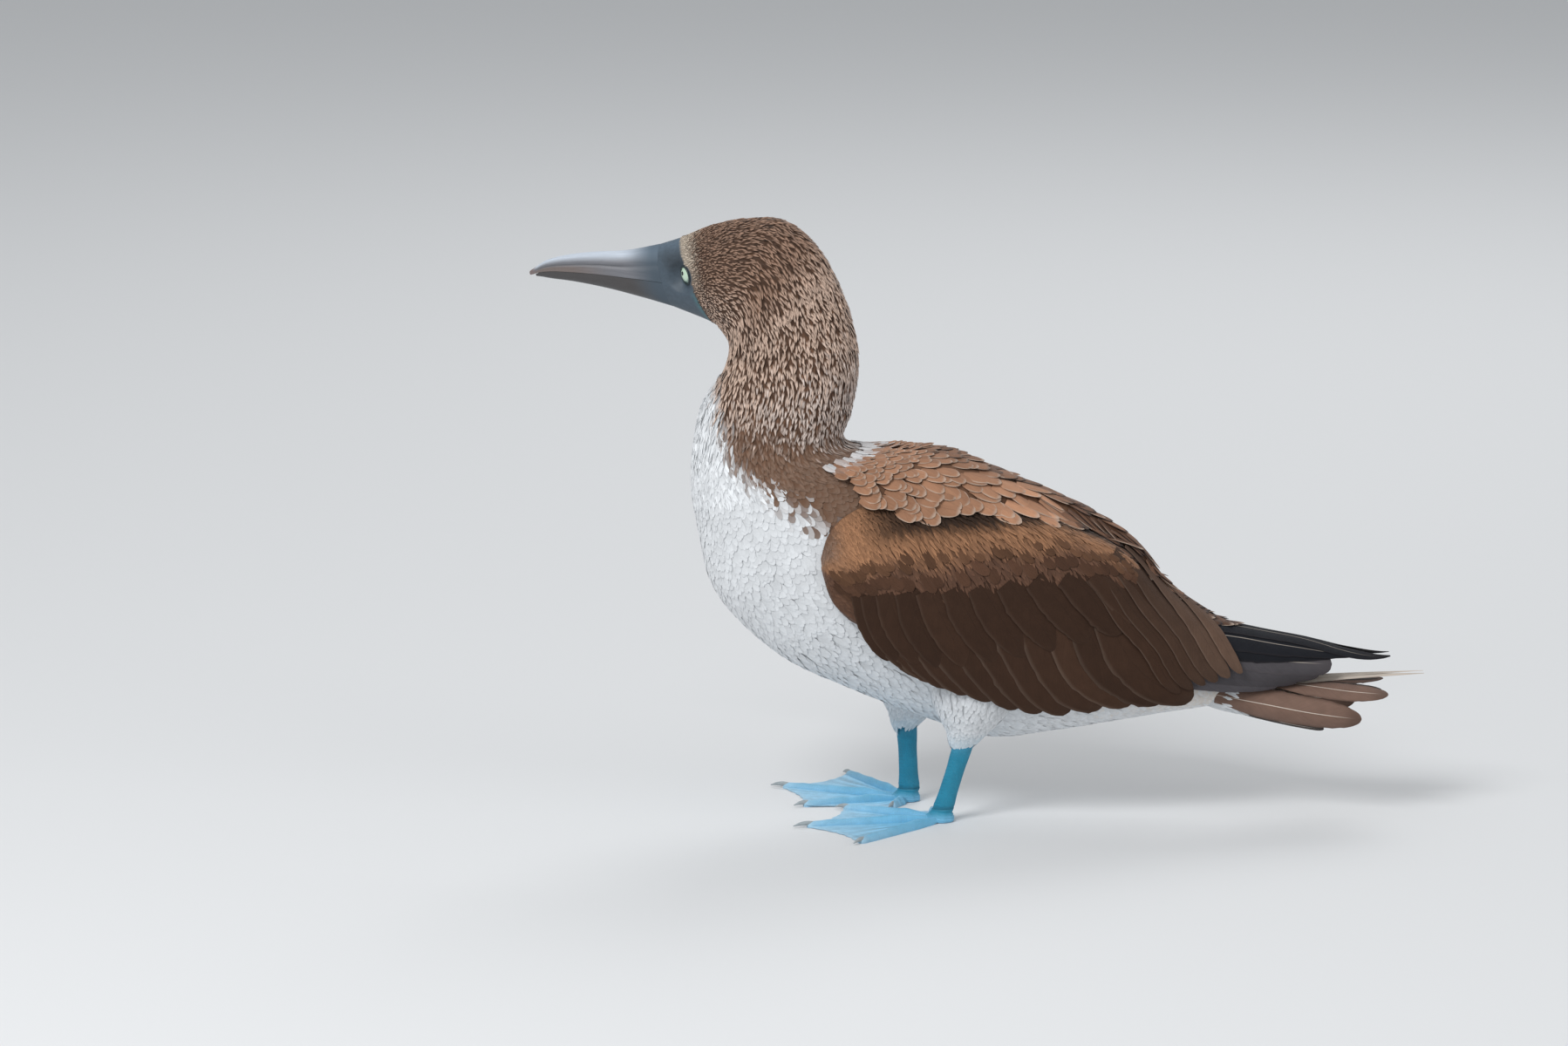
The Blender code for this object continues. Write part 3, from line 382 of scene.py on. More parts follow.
class Form:
    """A surface with two places u and a on it, which feathers are laid on."""

    step = 0.01
    field = ((0.0, 1.0), (0.0, 1.0))
    stands_out = 0.0

    def slopes(self, u, a):
        along = (self.bare(u + self.step, a) - self.bare(u - self.step, a)) / (2 * self.step)
        around = (self.bare(u, a + self.step) - self.bare(u, a - self.step)) / (2 * self.step)
        return along, around

    def normal(self, u, a):
        along, around = self.slopes(u, a)
        n = unit(np.cross(around, along))
        side = np.sum(n * self.outward(u, a), axis=-1, keepdims=True)
        return np.where(side > 0, n, -n)

    def point(self, u, a, lift=0.0):
        return self.bare(u, a) + self.normal(u, a) * np.asarray(lift, float)[..., None]

    def stepped(self, u, a, offset):
        """The places reached from (u, a) by short steps of offset, vectors in millimetres."""
        along, around = self.slopes(u, a)
        e = np.sum(along * along, -1)
        f = np.sum(along * around, -1)
        g = np.sum(around * around, -1)
        b = np.sum(along * offset, -1)
        c = np.sum(around * offset, -1)
        spread = np.maximum(e * g - f * f, 1e-6)
        return u + (g * b - f * c) / spread, a + (e * c - f * b) / spread

    def seen(self, u, a):
        """Where places show in the side view from slightly above."""
        x, y, z = np.moveaxis(self.bare(u, a), -1, 0)
        return paired(x, z + (y - self.stands_out) * VIEW_SLOPE)

    def find(self, spots):
        """The places on the left side that show at the given spots (x, z) of the side view."""
        spots = np.atleast_2d(np.asarray(spots, float))
        all_u, all_a = grid(np.linspace(*self.field[0], 90), np.linspace(*self.field[1], 60))
        shown = self.seen(all_u.ravel(), all_a.ravel())
        nearest = [int(np.argmin(np.sum((shown - spot) ** 2, axis=1))) for spot in spots]
        u = all_u.ravel()[nearest]
        a = all_a.ravel()[nearest]

        def crossed(first, second):
            return first[:, 0] * second[:, 1] - first[:, 1] * second[:, 0]

        for _ in range(8):
            error = spots - self.seen(u, a)
            by_u = (self.seen(u + self.step, a) - self.seen(u - self.step, a)) / (2 * self.step)
            by_a = (self.seen(u, a + self.step) - self.seen(u, a - self.step)) / (2 * self.step)
            area = crossed(by_u, by_a)
            area = np.where(np.abs(area) < 1e-4, 1e-4, area)
            u = np.clip(u + 0.8 * crossed(error, by_a) / area, *self.field[0])
            a = np.clip(a + 0.8 * crossed(by_u, error) / area, *self.field[1])
        return paired(u, a)


class Ovals(Form):
    """A form through oval sections: u counts the sections, a is the angle from the highest point.

    Angles from 0 to pi lie on the bird's left side, negative ones on its right. A skirt below 1 makes
    the lower half hang straighter down.
    """

    def __init__(self, rows, skirt=1.0, aside=0.0, stands_out=0.0):
        self.rows = rows
        self.skirt = skirt
        self.aside = aside
        self.stands_out = stands_out
        self.field = ((0.0, len(rows) - 1.0), (0.0, math.pi))

    def bare(self, u, a):
        row = catmull(self.rows, u)
        cos = np.cos(a)
        sin = np.sin(a)
        out = np.where(cos < 0, np.sign(sin) * np.abs(sin) ** self.skirt, sin)
        x = (row[..., 0] + row[..., 2]) / 2 + (row[..., 2] - row[..., 0]) / 2 * cos
        z = (row[..., 1] + row[..., 3]) / 2 + (row[..., 3] - row[..., 1]) / 2 * cos
        y = self.aside - np.maximum(row[..., 4], 0.2) * out
        return turned(np.stack([x, y, z], -1), row[..., 5])

    def outward(self, u, a):
        return self.bare(u, a) - (self.bare(u, a) + self.bare(u, a + math.pi)) / 2


class Pad(Form):
    """A padded form on a bed between an upper and a lower border, u along it and a across it."""

    step = 0.004

    def __init__(self, bed, upper, lower, height):
        self.bed = bed
        self.upper = bed.find(upper)
        self.lower = bed.find(lower)
        self.height = height

    def place(self, s, v):
        start = catmull(self.upper, s * (len(self.upper) - 1))
        end = catmull(self.lower, s * (len(self.lower) - 1))
        spot = start + (end - start) * v[..., None]
        return spot[..., 0], spot[..., 1]

    def bare(self, s, v):
        s = np.asarray(s, float)
        v = np.asarray(v, float)
        u, a = self.place(s, v)
        return self.bed.point(u, a, self.height(s, v))

    def outward(self, s, v):
        u, a = self.place(np.asarray(s, float), np.asarray(v, float))
        return self.bed.outward(u, a)


def world(points):
    """Points of the bird, in millimetres, as places in the frame, in metres."""
    return (points - np.array([CENTRE_X, CENTRE_Y, 0.0])) * MM


class Mesh:
    """Points, faces and what varies over them, gathered from parts and made into one object."""

    def __init__(self):
        self.parts = []

    def add(self, points, quads, triangles=(), **values):
        """A part, whose values hold one entry for each of its points."""
        points = np.asarray(points, float).reshape(-1, 3)
        quads = np.asarray(quads, int).reshape(-1, 4)
        triangles = np.asarray(triangles, int).reshape(-1, 3)
        values = {name: np.asarray(value, float).reshape(len(points), -1) for name, value in values.items()}
        self.parts.append((points, quads, triangles, values))

    def mirrored(self):
        """The same parts on the bird's other side."""
        other = Mesh()
        for points, quads, triangles, values in self.parts:
            other.parts.append((points * (1.0, -1.0, 1.0), quads[:, ::-1], triangles[:, ::-1], values))
        return other

    def build(self, name, finish, slot, replaces=(), crease=60.0):
        """One object in the frame, on the bird's body, with sharp edges above the crease in degrees."""
        starts = np.cumsum([0] + [len(part[0]) for part in self.parts])
        points = world(np.concatenate([part[0] for part in self.parts]))
        quads = np.concatenate([part[1] + start for part, start in zip(self.parts, starts)])
        triangles = np.concatenate([part[2] + start for part, start in zip(self.parts, starts)])
        corners = np.concatenate([quads.ravel(), triangles.ravel()])
        firsts = np.concatenate([np.arange(len(quads)) * 4, len(quads) * 4 + np.arange(len(triangles)) * 3])
        mesh = bpy.data.meshes.new(name)
        mesh.vertices.add(len(points))
        mesh.vertices.foreach_set("co", points.ravel())
        mesh.loops.add(len(corners))
        mesh.loops.foreach_set("vertex_index", corners)
        mesh.polygons.add(len(firsts))
        mesh.polygons.foreach_set("loop_start", firsts)
        mesh.update(calc_edges=True)
        widths = {key: value.shape[1] for part in self.parts for key, value in part[3].items()}
        for key, width in widths.items():
            value = np.concatenate([part[3].get(key, np.zeros((len(part[0]), width))) for part in self.parts])
            if width == 2:
                mesh.uv_layers.new(name=key).data.foreach_set("uv", value[corners].ravel())
            elif width == 1:
                mesh.attributes.new(key, "FLOAT", "POINT").data.foreach_set("value", value.ravel())
            else:
                colour = np.concatenate([value, np.ones((len(value), 1))], axis=1)
                mesh.attributes.new(key, "FLOAT_COLOR", "POINT").data.foreach_set("color", colour.ravel())
        mesh.shade_smooth()
        mesh.set_sharp_from_angle(angle=math.radians(crease))
        mesh.materials.append(finish)
        piece = bpy.data.objects.new(name, mesh)
        bpy.context.scene.collection.objects.link(piece)
        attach(piece, BODY)
        if replaces:
            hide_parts(*replaces)
        return piece


def grid_quads(rows, columns, closed=False, looped=False):
    """Faces of a grid of points, closed round its columns and looped along its rows where asked."""
    i, j = grid(np.arange(rows if looped else rows - 1), np.arange(columns if closed else columns - 1))
    here = i * columns
    ahead = (i + 1) % rows * columns
    k = (j + 1) % columns
    return np.stack([here + j, ahead + j, ahead + k, here + k], -1).reshape(-1, 4)


def rim_quads(rows, columns):
    """Faces that join the rim of a grid of points to that of a second grid right after it."""
    rim = [(0, j) for j in range(columns)] + [(i, columns - 1) for i in range(1, rows)]
    rim += [(rows - 1, j) for j in range(columns - 2, -1, -1)] + [(i, 0) for i in range(rows - 2, 0, -1)]
    ring = np.array([i * columns + j for i, j in rim])
    after = np.roll(ring, -1)
    return np.stack([ring, after, after + rows * columns, ring + rows * columns], -1)


def repeated(faces, count, size):
    """The faces of one small part, for each of count like parts."""
    faces = np.asarray(faces, int)
    return (faces[None] + np.arange(count)[:, None, None] * size).reshape(-1, faces.shape[1])


def patches(places, along, across, size=0.0015):
    """Small patches of the coat's unwrap, one at each feather's root."""
    u, v = np.moveaxis(places[:, None, None], -1, 0)
    return paired(u + across * size, v + (2 * along - 1) * size)


def cells(count, along, across, margin=0.06):
    """One cell of a square for each blade, for its unwrap."""
    side = int(math.ceil(math.sqrt(count)))
    number = np.arange(count)
    u = margin + (1 - 2 * margin) * (across * 0.5 + 0.5)
    v = margin + (1 - 2 * margin) * along
    left = (number % side)[:, None, None]
    low = (number // side)[:, None, None]
    return paired((left + u) / side, (low + v) / side)


def rounded(count, root=0.7, power=7.0):
    """An outline that widens from its root and ends round, with more stations near its tip."""
    stops = 1 - (1 - np.linspace(0, 1, count)) ** 1.4
    shares = (root + (1 - root) * smooth(0, 0.4, stops)) * np.sqrt(1 - stops**power)
    return list(zip(stops, np.maximum(shares, 0.04)))


def refined(outline, count):
    """The same outline as a smooth curve of more stations."""
    stops = np.linspace(0, 1, count)
    places = np.array([stop for stop, _ in outline])
    shares = np.array([[share] for _, share in outline])
    return list(zip(stops, catmull(shares, np.interp(stops, places, np.arange(len(places))))[:, 0]))


def lay(form, root, tip, width, lift, outline, across, **shape):
    """Points of blades laid on a form from root to tip, each blade by stations and places across.

    tilt raises one edge and tucks the other, camber raises the middle, curl lifts the tip, bend carries
    it sideways and ragged varies the width from station to station.
    """
    count = len(root)
    stops, shares = np.array(outline).T
    sides = np.linspace(-1.0, 1.0, across)
    spots = shape.get("path", root[:, None] + (tip - root)[:, None] * stops[:, None])
    u = spots[..., 0]
    a = spots[..., 1]
    along, around = form.slopes(u, a)
    delta = np.gradient(spots, axis=1)
    direction = unit(along * delta[..., :1] + around * delta[..., 1:])
    beside = np.cross(form.normal(u, a), direction)
    half = np.broadcast_to(np.asarray(width, float), (count,))[:, None, None] / 2
    share = shares[None, :, None] * shape.get("ragged", np.ones((count, len(stops), across)))
    drift = np.asarray(shape.get("bend", 0.0), float).reshape(-1, 1, 1) * stops[None, :, None] ** 2
    reach = sides[None, None] * share * half + drift
    v, b = form.stepped(
        np.broadcast_to(u[..., None], reach.shape),
        np.broadcast_to(a[..., None], reach.shape),
        beside[:, :, None] * reach[..., None],
    )
    lift = np.broadcast_to(np.asarray(lift, float), (count, 2))
    level = lift[:, :1] + (lift[:, 1:] - lift[:, :1]) * stops
    level = level + np.asarray(shape.get("curl", 0.0), float).reshape(-1, 1) * stops**3
    tilt = np.asarray(shape.get("tilt", 0.0), float).reshape(-1, 1, 1)
    camber = np.asarray(shape.get("camber", 0.3), float).reshape(-1, 1, 1)
    level = level[..., None] - tilt * sides * share + camber * (1 - sides**2) * share
    return form.bare(v, b), form.normal(v, b), level, stops[None, :, None], sides[None, None]


def over(shape, value):
    """A value of each blade, spread over all the blade's points."""
    value = np.asarray(value, float)
    if value.ndim == 2:
        return np.broadcast_to(value[:, None, None], shape + (value.shape[1],))
    return np.broadcast_to(value.reshape(-1, 1, 1), shape)


def tufts(mesh, form, root, tip, width, lift, outline, colours, bake, **shape):
    """Small feathers, each a thin closed blade with a ridge."""
    surface, normals, level, along, across = lay(form, root, tip, width, lift, outline, 3, **shape)
    points = surface + normals * level[..., None]
    count, rows = points.shape[:2]
    top = grid_quads(rows, 3)
    under = np.array([(i * 3 + 2, (i + 1) * 3 + 2, (i + 1) * 3, i * 3) for i in range(rows - 1)])
    ends = [(0, 1, 2), (rows * 3 - 3, rows * 3 - 1, rows * 3 - 2)]
    size = rows * 3
    box = points.shape[:3]
    mesh.add(
        points,
        repeated(np.vstack([top, under]), count, size),
        repeated(ends, count, size),
        along=np.broadcast_to(along, box), across=np.broadcast_to(across, box),
        seed=over(box, shape["seed"]), root_colour=over(box, colours[0]),
        tip_colour=over(box, colours[1]), OFBake=patches(bake, along, across),
    )


def vanes(mesh, form, root, tip, width, lift, outline, across, colours, bake=None, thick=0.35, **shape):
    """Larger feathers, each a closed blade with the same faces above and below."""
    surface, normals, level, along, sides = lay(form, root, tip, width, lift, outline, across, **shape)
    half = thick / 2 * (1 - 0.6 * sides**2) * (1 - 0.5 * along)
    top = surface + normals * (level + half)[..., None]
    low = surface + normals * (level - half)[..., None]
    count, rows = top.shape[:2]
    points = np.concatenate([top.reshape(count, -1, 3), low.reshape(count, -1, 3)], axis=1)
    size = rows * across * 2
    face = grid_quads(rows, across)
    faces = np.vstack([face, face[:, ::-1] + rows * across, rim_quads(rows, across)])
    box = (count, rows, across)
    span = np.broadcast_to(np.asarray(width, float), (count,))
    length = np.linalg.norm(np.diff(surface[:, :, across // 2], axis=1), axis=-1).sum(axis=1)
    unwrap = cells(count, along, sides) if bake is None else patches(bake, along, sides)

    def both(value):
        flat = value.reshape(count, rows * across, -1)
        return np.concatenate([flat, flat], axis=1)

    mesh.add(
        points,
        repeated(faces, count, size),
        along=both(np.broadcast_to(along, box)), across=both(np.broadcast_to(sides, box)),
        seed=both(over(box, shape["seed"])), root_colour=both(over(box, colours[0])),
        tip_colour=both(over(box, colours[1])), shaft_colour=both(over(box, shape["shaft_colour"])),
        run=both(over(box, length) * along), reach=both(over(box, span) * sides / 2), OFBake=both(unwrap),
    )


def scattered(form, first, last, columns, pitch, draw, jitter=0.3):
    """Feather roots in staggered columns from station first to last, pitch(u, a) apart."""
    stops = np.linspace(first, last, 200)
    middle = (stops[1:] + stops[:-1]) / 2
    places = []
    for column in range(columns):
        a = math.pi * (2 * (column + 0.5) / columns - 1)
        line = form.bare(stops, np.full(len(stops), a))
        steps = np.linalg.norm(np.diff(line, axis=0), axis=1) / pitch(middle, np.full(len(middle), a))
        run = np.concatenate([[0.0], np.cumsum(steps)])
        count = int(run[-1])
        marks = np.arange(count) + 0.5 * (column % 2) + draw.uniform(-jitter, jitter, count) + 0.25
        u = np.interp(marks, run, stops)
        places.append(paired(u, a + draw.uniform(-jitter, jitter, count) * TURN / columns))
    return np.concatenate(places)


def pointed(form, root, length, draw, sway=0.12, lean=0.0):
    """Tips of feathers that run back from their roots by a length in millimetres, swayed at random."""
    along, around = form.slopes(root[:, 0], root[:, 1])
    run = np.maximum(np.linalg.norm(along, axis=-1), 1e-3)
    turn = np.maximum(np.linalg.norm(around, axis=-1), 1e-3)
    aside = draw.normal(0.0, sway, len(root)) + lean
    return root + paired(length * np.cos(aside) / run, length * np.sin(aside) / turn)


def inset(share):
    """A share of an unwrap, kept off its rim."""
    return share * 0.98 + 0.01


def unwrapped(u, a, last):
    """Places on a form as places on its unwrap."""
    return paired(inset(u / last), inset((a / TURN + 0.5) % 1.0))


def thigh_unwrapped(u, a):
    """Places on a thigh as places on a small part of the body's unwrap."""
    return paired(0.7 + u / 200, 0.5 + a / 400)


class Socket:
    """A socket of a material's nodes, so that its maths is written as plain expressions."""

    def __init__(self, tree, socket):
        self.tree = tree
        self.socket = socket

    def math(self, operation, *others):
        node = self.tree.nodes.new("ShaderNodeMath")
        node.operation = operation
        for slot, value in zip(node.inputs, (self, *others)):
            fill(self.tree, slot, value)
        return Socket(self.tree, node.outputs[0])

    def __add__(self, other):
        return self.math("ADD", other)

    __radd__ = __add__

    def __sub__(self, other):
        return self.math("SUBTRACT", other)

    def __rsub__(self, other):
        return (self * -1.0) + other

    def __mul__(self, other):
        return self.math("MULTIPLY", other)

    __rmul__ = __mul__

    def __abs__(self):
        return self.math("ABSOLUTE")

    def least(self, other):
        return self.math("MINIMUM", other)

    def most(self, other):
        return self.math("MAXIMUM", other)

    def sine(self):
        return self.math("SINE")

    def step(self, low, high):
        """0 below low, 1 above high, with a soft step between."""
        node = self.tree.nodes.new("ShaderNodeMapRange")
        node.interpolation_type = "SMOOTHSTEP"
        fill(self.tree, node.inputs["Value"], self)
        node.inputs["From Min"].default_value = low
        node.inputs["From Max"].default_value = high
        return Socket(self.tree, node.outputs["Result"])


def fill(tree, slot, value):
    """A value or a link for a node's socket."""
    if isinstance(value, Socket):
        tree.links.new(value.socket, slot)
    elif hasattr(slot.default_value, "__len__") and len(slot.default_value) == 4 and len(value) == 3:
        slot.default_value = (*value, 1.0)
    else:
        slot.default_value = value


class Finish:
    """A material made of nodes round one Principled shader."""

    def __init__(self, name, **settings):
        self.material = bpy.data.materials.new(name)
        self.material.use_nodes = True
        self.tree = self.material.node_tree
        self.shader = self.tree.nodes["Principled BSDF"]
        for slot, value in settings.items():
            self.set(slot.replace("_", " "), value)

    def set(self, slot, value):
        fill(self.tree, self.shader.inputs[slot], value)

    def node(self, kind, settings=None, output=0, **sockets):
        """Any node: its type, its settings, and its sockets by name, or as i0, i1 and so on by number."""
        node = self.tree.nodes.new("ShaderNode" + kind)
        for key, value in (settings or {}).items():
            setattr(node, key, value)
        for key, value in sockets.items():
            numbered = key[0] == "i" and key[1:].isdigit()
            slot = node.inputs[int(key[1:]) if numbered else key.replace("_", " ")]
            fill(self.tree, slot, value)
        return Socket(self.tree, node.outputs[output])

    def value(self, name):
        """A number stored on the points of the mesh."""
        return self.node("Attribute", {"attribute_name": name}, output="Fac")

    def colour(self, name):
        """A colour stored on the points of the mesh."""
        return self.node("Attribute", {"attribute_name": name}, output="Color")

    def mix(self, share, first, second, way="MIX"):
        settings = {"data_type": "RGBA", "blend_type": way}
        return self.node("Mix", settings, output=2, i0=share, i6=first, i7=second)

    def scaled(self, colour, amount):
        """A colour made lighter or darker by a number."""
        grey = self.node("CombineColor", Red=amount, Green=amount, Blue=amount)
        return self.mix(1.0, colour, grey, "MULTIPLY")

    def place(self, scale=(1.0, 1.0, 1.0)):
        """The place on the object in metres, scaled for a pattern."""
        spot = self.node("TexCoord", output="Object")
        return self.node("VectorMath", {"operation": "MULTIPLY"}, i0=spot, i1=scale)

    def noise(self, scale, detail=3.0, roughness=0.55, vector=None):
        vector = vector or self.place()
        return self.node("TexNoise", Vector=vector, Scale=scale, Detail=detail, Roughness=roughness)

    def bump(self, height, strength, distance):
        """Fine relief of the surface, its distance in metres."""
        self.set("Normal", self.node("Bump", Height=height, Strength=strength, Distance=distance))


def eye_axis(side):
    """Centre and outward axis of one eye, side -1 for the left and 1 for the right."""
    centre = np.array([EYE_CENTRE[0], side * -EYE_CENTRE[1], EYE_CENTRE[2]])
    tip = centre + np.array([-math.sin(EYE_FORWARD), side * math.cos(EYE_FORWARD), -EYE_DOWN])
    centre = turned(centre, 1.0)
    return centre, unit(turned(tip, 1.0) - centre)


def from_eye(points, side):
    """How far points stand out along an eye's axis, and their distance from it."""
    centre, axis = eye_axis(side)
    height = np.sum((points - centre) * axis, -1)
    aside = np.linalg.norm(points - centre - height[..., None] * axis, axis=-1)
    return height, aside


def clear_of_eyes(points):
    """Whether each point lies outside both eyes' rims."""
    clear = np.ones(len(points), bool)
    for side in (-1, 1):
        height, aside = from_eye(points, side)
        clear &= (height < EYE_BEHIND) | (aside > LID_RADIUS + 0.3)
    return clear


class Body(Ovals):
    """The body from the bill root to the tail root, raised round the eyes and sunk under them."""

    def bare(self, u, a):
        points = super().bare(u, a)
        for side in (-1, 1):
            height, aside = from_eye(points, side)
            ring = LID_HEIGHT - 0.4 * np.maximum(aside - LID_RADIUS, 0.0)
            wanted = ring - 6.0 * (1 - smooth(LID_RADIUS - 2.2, LID_RADIUS - 0.9, aside))
            share = (1 - smooth(LID_RADIUS + 1.0, ORBIT_RADIUS, aside)) * (height > EYE_BEHIND)
            points = points + ((wanted - height) * share)[..., None] * eye_axis(side)[1]
        return points


def body_form():
    """The body that skin and coat lie on, from the bill root to the tail root."""
    return Body(HEAD_ROWS + NECK_ROWS + TRUNK_ROWS + RUMP_ROWS)


def wing_bed():
    """The back and the folded wings in one form, on which mantle and flight feathers lie."""
    return Ovals(NECK_ROWS[-1:] + TRUNK_ROWS + FOLDED_WING_ROWS, WING_SKIRT, stands_out=WING_STANDS_OUT)


def photo(x, y):
    """A spot of the side view, in millimetres, under a pixel of the photograph."""
    rise = PHOTO_SCALE / math.cos(math.atan(VIEW_SLOPE))
    return (x - PHOTO_ORIGIN[0]) * PHOTO_SCALE, (PHOTO_ORIGIN[1] - y) * rise


# What every property group has of its own
INBUILT = ("name", "rna_type")


def paint(name, description, *colour):
    """A colour that a user may change."""
    return FloatVectorProperty(name=name, description=description, default=colour, subtype="COLOR")


class BoobyPlumage(bpy.types.PropertyGroup):
    crown: paint("Crown", "Dark brown of the head and neck", 0.066, 0.034, 0.020)
    streak: paint("Streaks", "Buff tips on the head and neck", 0.56, 0.41, 0.325)
    forehead: paint("Forehead", "Cream band behind the bill", 0.62, 0.53, 0.43)
    white: paint("White", "Breast and belly", 0.75, 0.77, 0.79)
    shoulder: paint("Shoulder", "Brown of the shoulder and mantle", 0.145, 0.078, 0.048)
    mantle: paint("Mantle", "Mid brown of the mantle", 0.31, 0.160, 0.094)
    fringe: paint("Fringes", "Pale edges of the mantle feathers", 0.53, 0.42, 0.34)
    covert: paint("Small coverts", "Golden brown band of the wing", 0.205, 0.102, 0.052)
    rufous: paint("Median coverts", "Rufous brown of the wing", 0.096, 0.047, 0.028)
    flight: paint("Flight feathers", "Chocolate of the secondaries", 0.050, 0.025, 0.015)
    tertial: paint("Tertials", "Worn brown of the hindmost blades", 0.120, 0.072, 0.050)
    primary: paint("Primaries", "Blue-black of the wing tips", 0.010, 0.011, 0.015)
    worn: paint("Worn tips", "Grey of the lowest primaries", 0.083, 0.076, 0.083)
    tail: paint("Tail", "Taupe of the tail feathers", 0.17, 0.105, 0.08)
    cream: paint("Central tail", "Cream of the two middle tail feathers", 0.72, 0.63, 0.54)
    neck_feather: FloatProperty(
        name="Neck feather", description="Length of a feather on the neck", default=0.0105, unit="LENGTH"
    )
    breast_feather: FloatProperty(
        name="Breast feather", description="Length of a feather on the breast", default=0.011, unit="LENGTH"
    )
    seed: IntProperty(name="Seed", description="Start of the random draws", default=7)


class BoobyBare(bpy.types.PropertyGroup):
    bill: paint("Bill", "Blue-grey of the bill", 0.15, 0.156, 0.175)
    # The culmen colour is a painted highlight along the ridge of the bill.
    culmen_highlight: paint("Culmen", "Pale ridge of the bill", 0.54, 0.60, 0.68)
    horn: paint("Cutting edge", "Brownish horn along the mouth", 0.15, 0.115, 0.10)
    tip: paint("Bill tip", "Brown of the hooked tip", 0.17, 0.13, 0.125)
    face: paint("Face", "Slate skin before the eye", 0.050, 0.072, 0.095)
    gape: paint("Gape", "Teal skin along the edge of the chin's feathers", 0.05, 0.15, 0.17)
    iris: paint("Iris", "Pale green of the eye", 0.50, 0.66, 0.50)
    tarsus: paint("Legs", "Turquoise of the bare legs", 0.008, 0.24, 0.38)
    web: paint("Webs", "Sky blue of the webs", 0.19, 0.54, 0.80)
    web_edge: paint("Web edge", "Paler blue of the webs' rims", 0.42, 0.63, 0.78)


class BoobyStage(bpy.types.PropertyGroup):
    elevation: FloatProperty(
        name="Camera height", description="Angle of the camera above level", default=VIEW_ANGLE,
        subtype="ANGLE",
    )
    lens: FloatProperty(name="Lens", description="Focal length of the camera", default=200.0, unit="CAMERA")
    floor: paint("Floor", "Colour of the studio floor", 0.72, 0.73, 0.74)
    backdrop: paint("Backdrop", "Colour round the bird", 0.78, 0.80, 0.82)


def arrays(group):
    """The values of a property group, its colours as arrays for shares and blends of them."""
    values = {name: getattr(group, name) for name in group.bl_rna.properties.keys() if name not in INBUILT}
    colours = {name: np.array(value) for name, value in values.items() if hasattr(value, "__len__")}
    return SimpleNamespace(**{**values, **colours})


def feather_finish(name, roughness, streaked):
    """Feathers coloured from root to tip, with the pale tip as a streak or as a fringe."""
    finish = Finish(name, Roughness=roughness, Sheen_Weight=0.25, Sheen_Roughness=0.4)
    finish.set("Specular IOR Level", 0.25)
    along, across, seed = map(finish.value, ("along", "across", "seed"))
    side = abs(across)
    if streaked:
        share = along.step(0.38, 0.66) * (1.0 - side.step(0.35, 1.0) * 0.6)
    else:
        share = along.step(0.55, 1.0).most(side.step(0.62, 1.0) * 0.8)
    colour = finish.mix(share, finish.colour("root_colour"), finish.colour("tip_colour"))
    tone = 0.8 + seed * 0.4 if streaked else 0.93 + seed * 0.12
    speckle = finish.noise(900.0, 2.0) * 0.14 + finish.noise(90.0, 2.0) * 0.16 + 0.85
    finish.set("Base Color", finish.scaled(colour, tone * speckle))
    finish.bump(finish.noise(2600.0, 2.0), 0.2, 0.0004)
    return finish.material


def skin_finish():
    """Skin under the coat, wrinkled where it is bare."""
    finish = Finish("booby_skin", Roughness=0.55)
    mask = finish.value("bare")
    wrinkle = finish.noise(420.0, 4.0)
    tone = 1.0 - mask * 0.35 + wrinkle * mask * 0.7
    finish.set("Base Color", finish.scaled(finish.colour("root_colour"), tone))
    finish.set("Roughness", 0.85 - mask * 0.3)
    finish.bump(wrinkle + finish.noise(1600.0, 2.0) * 0.3, 0.35, 0.0004)
    return finish.material


def markings(u, a, plumage, draw=None):
    """Root and tip colours at places on the body, blurred from feather to feather by draws."""
    turn = from_top(a)
    blur = draw.normal(0, 1, np.shape(u)) if draw else np.zeros(np.shape(u))
    brown = plumage.crown
    streak = plumage.streak
    white = plumage.white

    upper = (1 - smooth(75, 120, turn)) * (1 - smooth(4.4, 5.6, u))
    root = blend(brown, brown * 1.5, smooth(4.0, 9.0, u)) * (1 + 0.3 * np.clip(blur, -1.3, 2.2))[..., None]
    tip = blend(streak, streak * (0.57, 0.49, 0.44), upper)
    band = (1 - smooth(1.15, 1.75, u + blur * 0.1)) * (1 - smooth(55, 115, turn))
    root = blend(root, plumage.forehead * 0.62, band * 0.9)
    tip = blend(tip, plumage.forehead, band)
    tip = blend(tip, blend(streak, white, 0.5), smooth(6.5, 9.5, u + blur * 0.5) * 0.8)

    shoulder = smooth(-0.75, 0.55, u + blur * 0.3 - at(COLLAR, turn))
    root = blend(root, plumage.shoulder, shoulder)
    tip = blend(tip, blend(plumage.shoulder, plumage.fringe, 0.13) * 0.95, shoulder)

    whiteness = smooth(-8, 9, turn + blur * 5 - at(WHITE_FRONT, u))
    whiteness = np.where(u > 13.2, 1.0, whiteness)
    nape = smooth(10.3, 10.7, u + blur * 0.15) * (1 - smooth(11.3, 11.9, u + blur * 0.2))
    whiteness = np.maximum(whiteness, nape * (1 - smooth(16, 30, turn + blur * 4)))
    vent = smooth(18.5, 21.5, u + blur * 0.6) * (1 - smooth(120, 160, turn))
    root = blend(root, white * 0.9, whiteness)
    tip = blend(tip, blend(white, plumage.cream * 0.9, vent * 0.7), whiteness)
    return root, tip


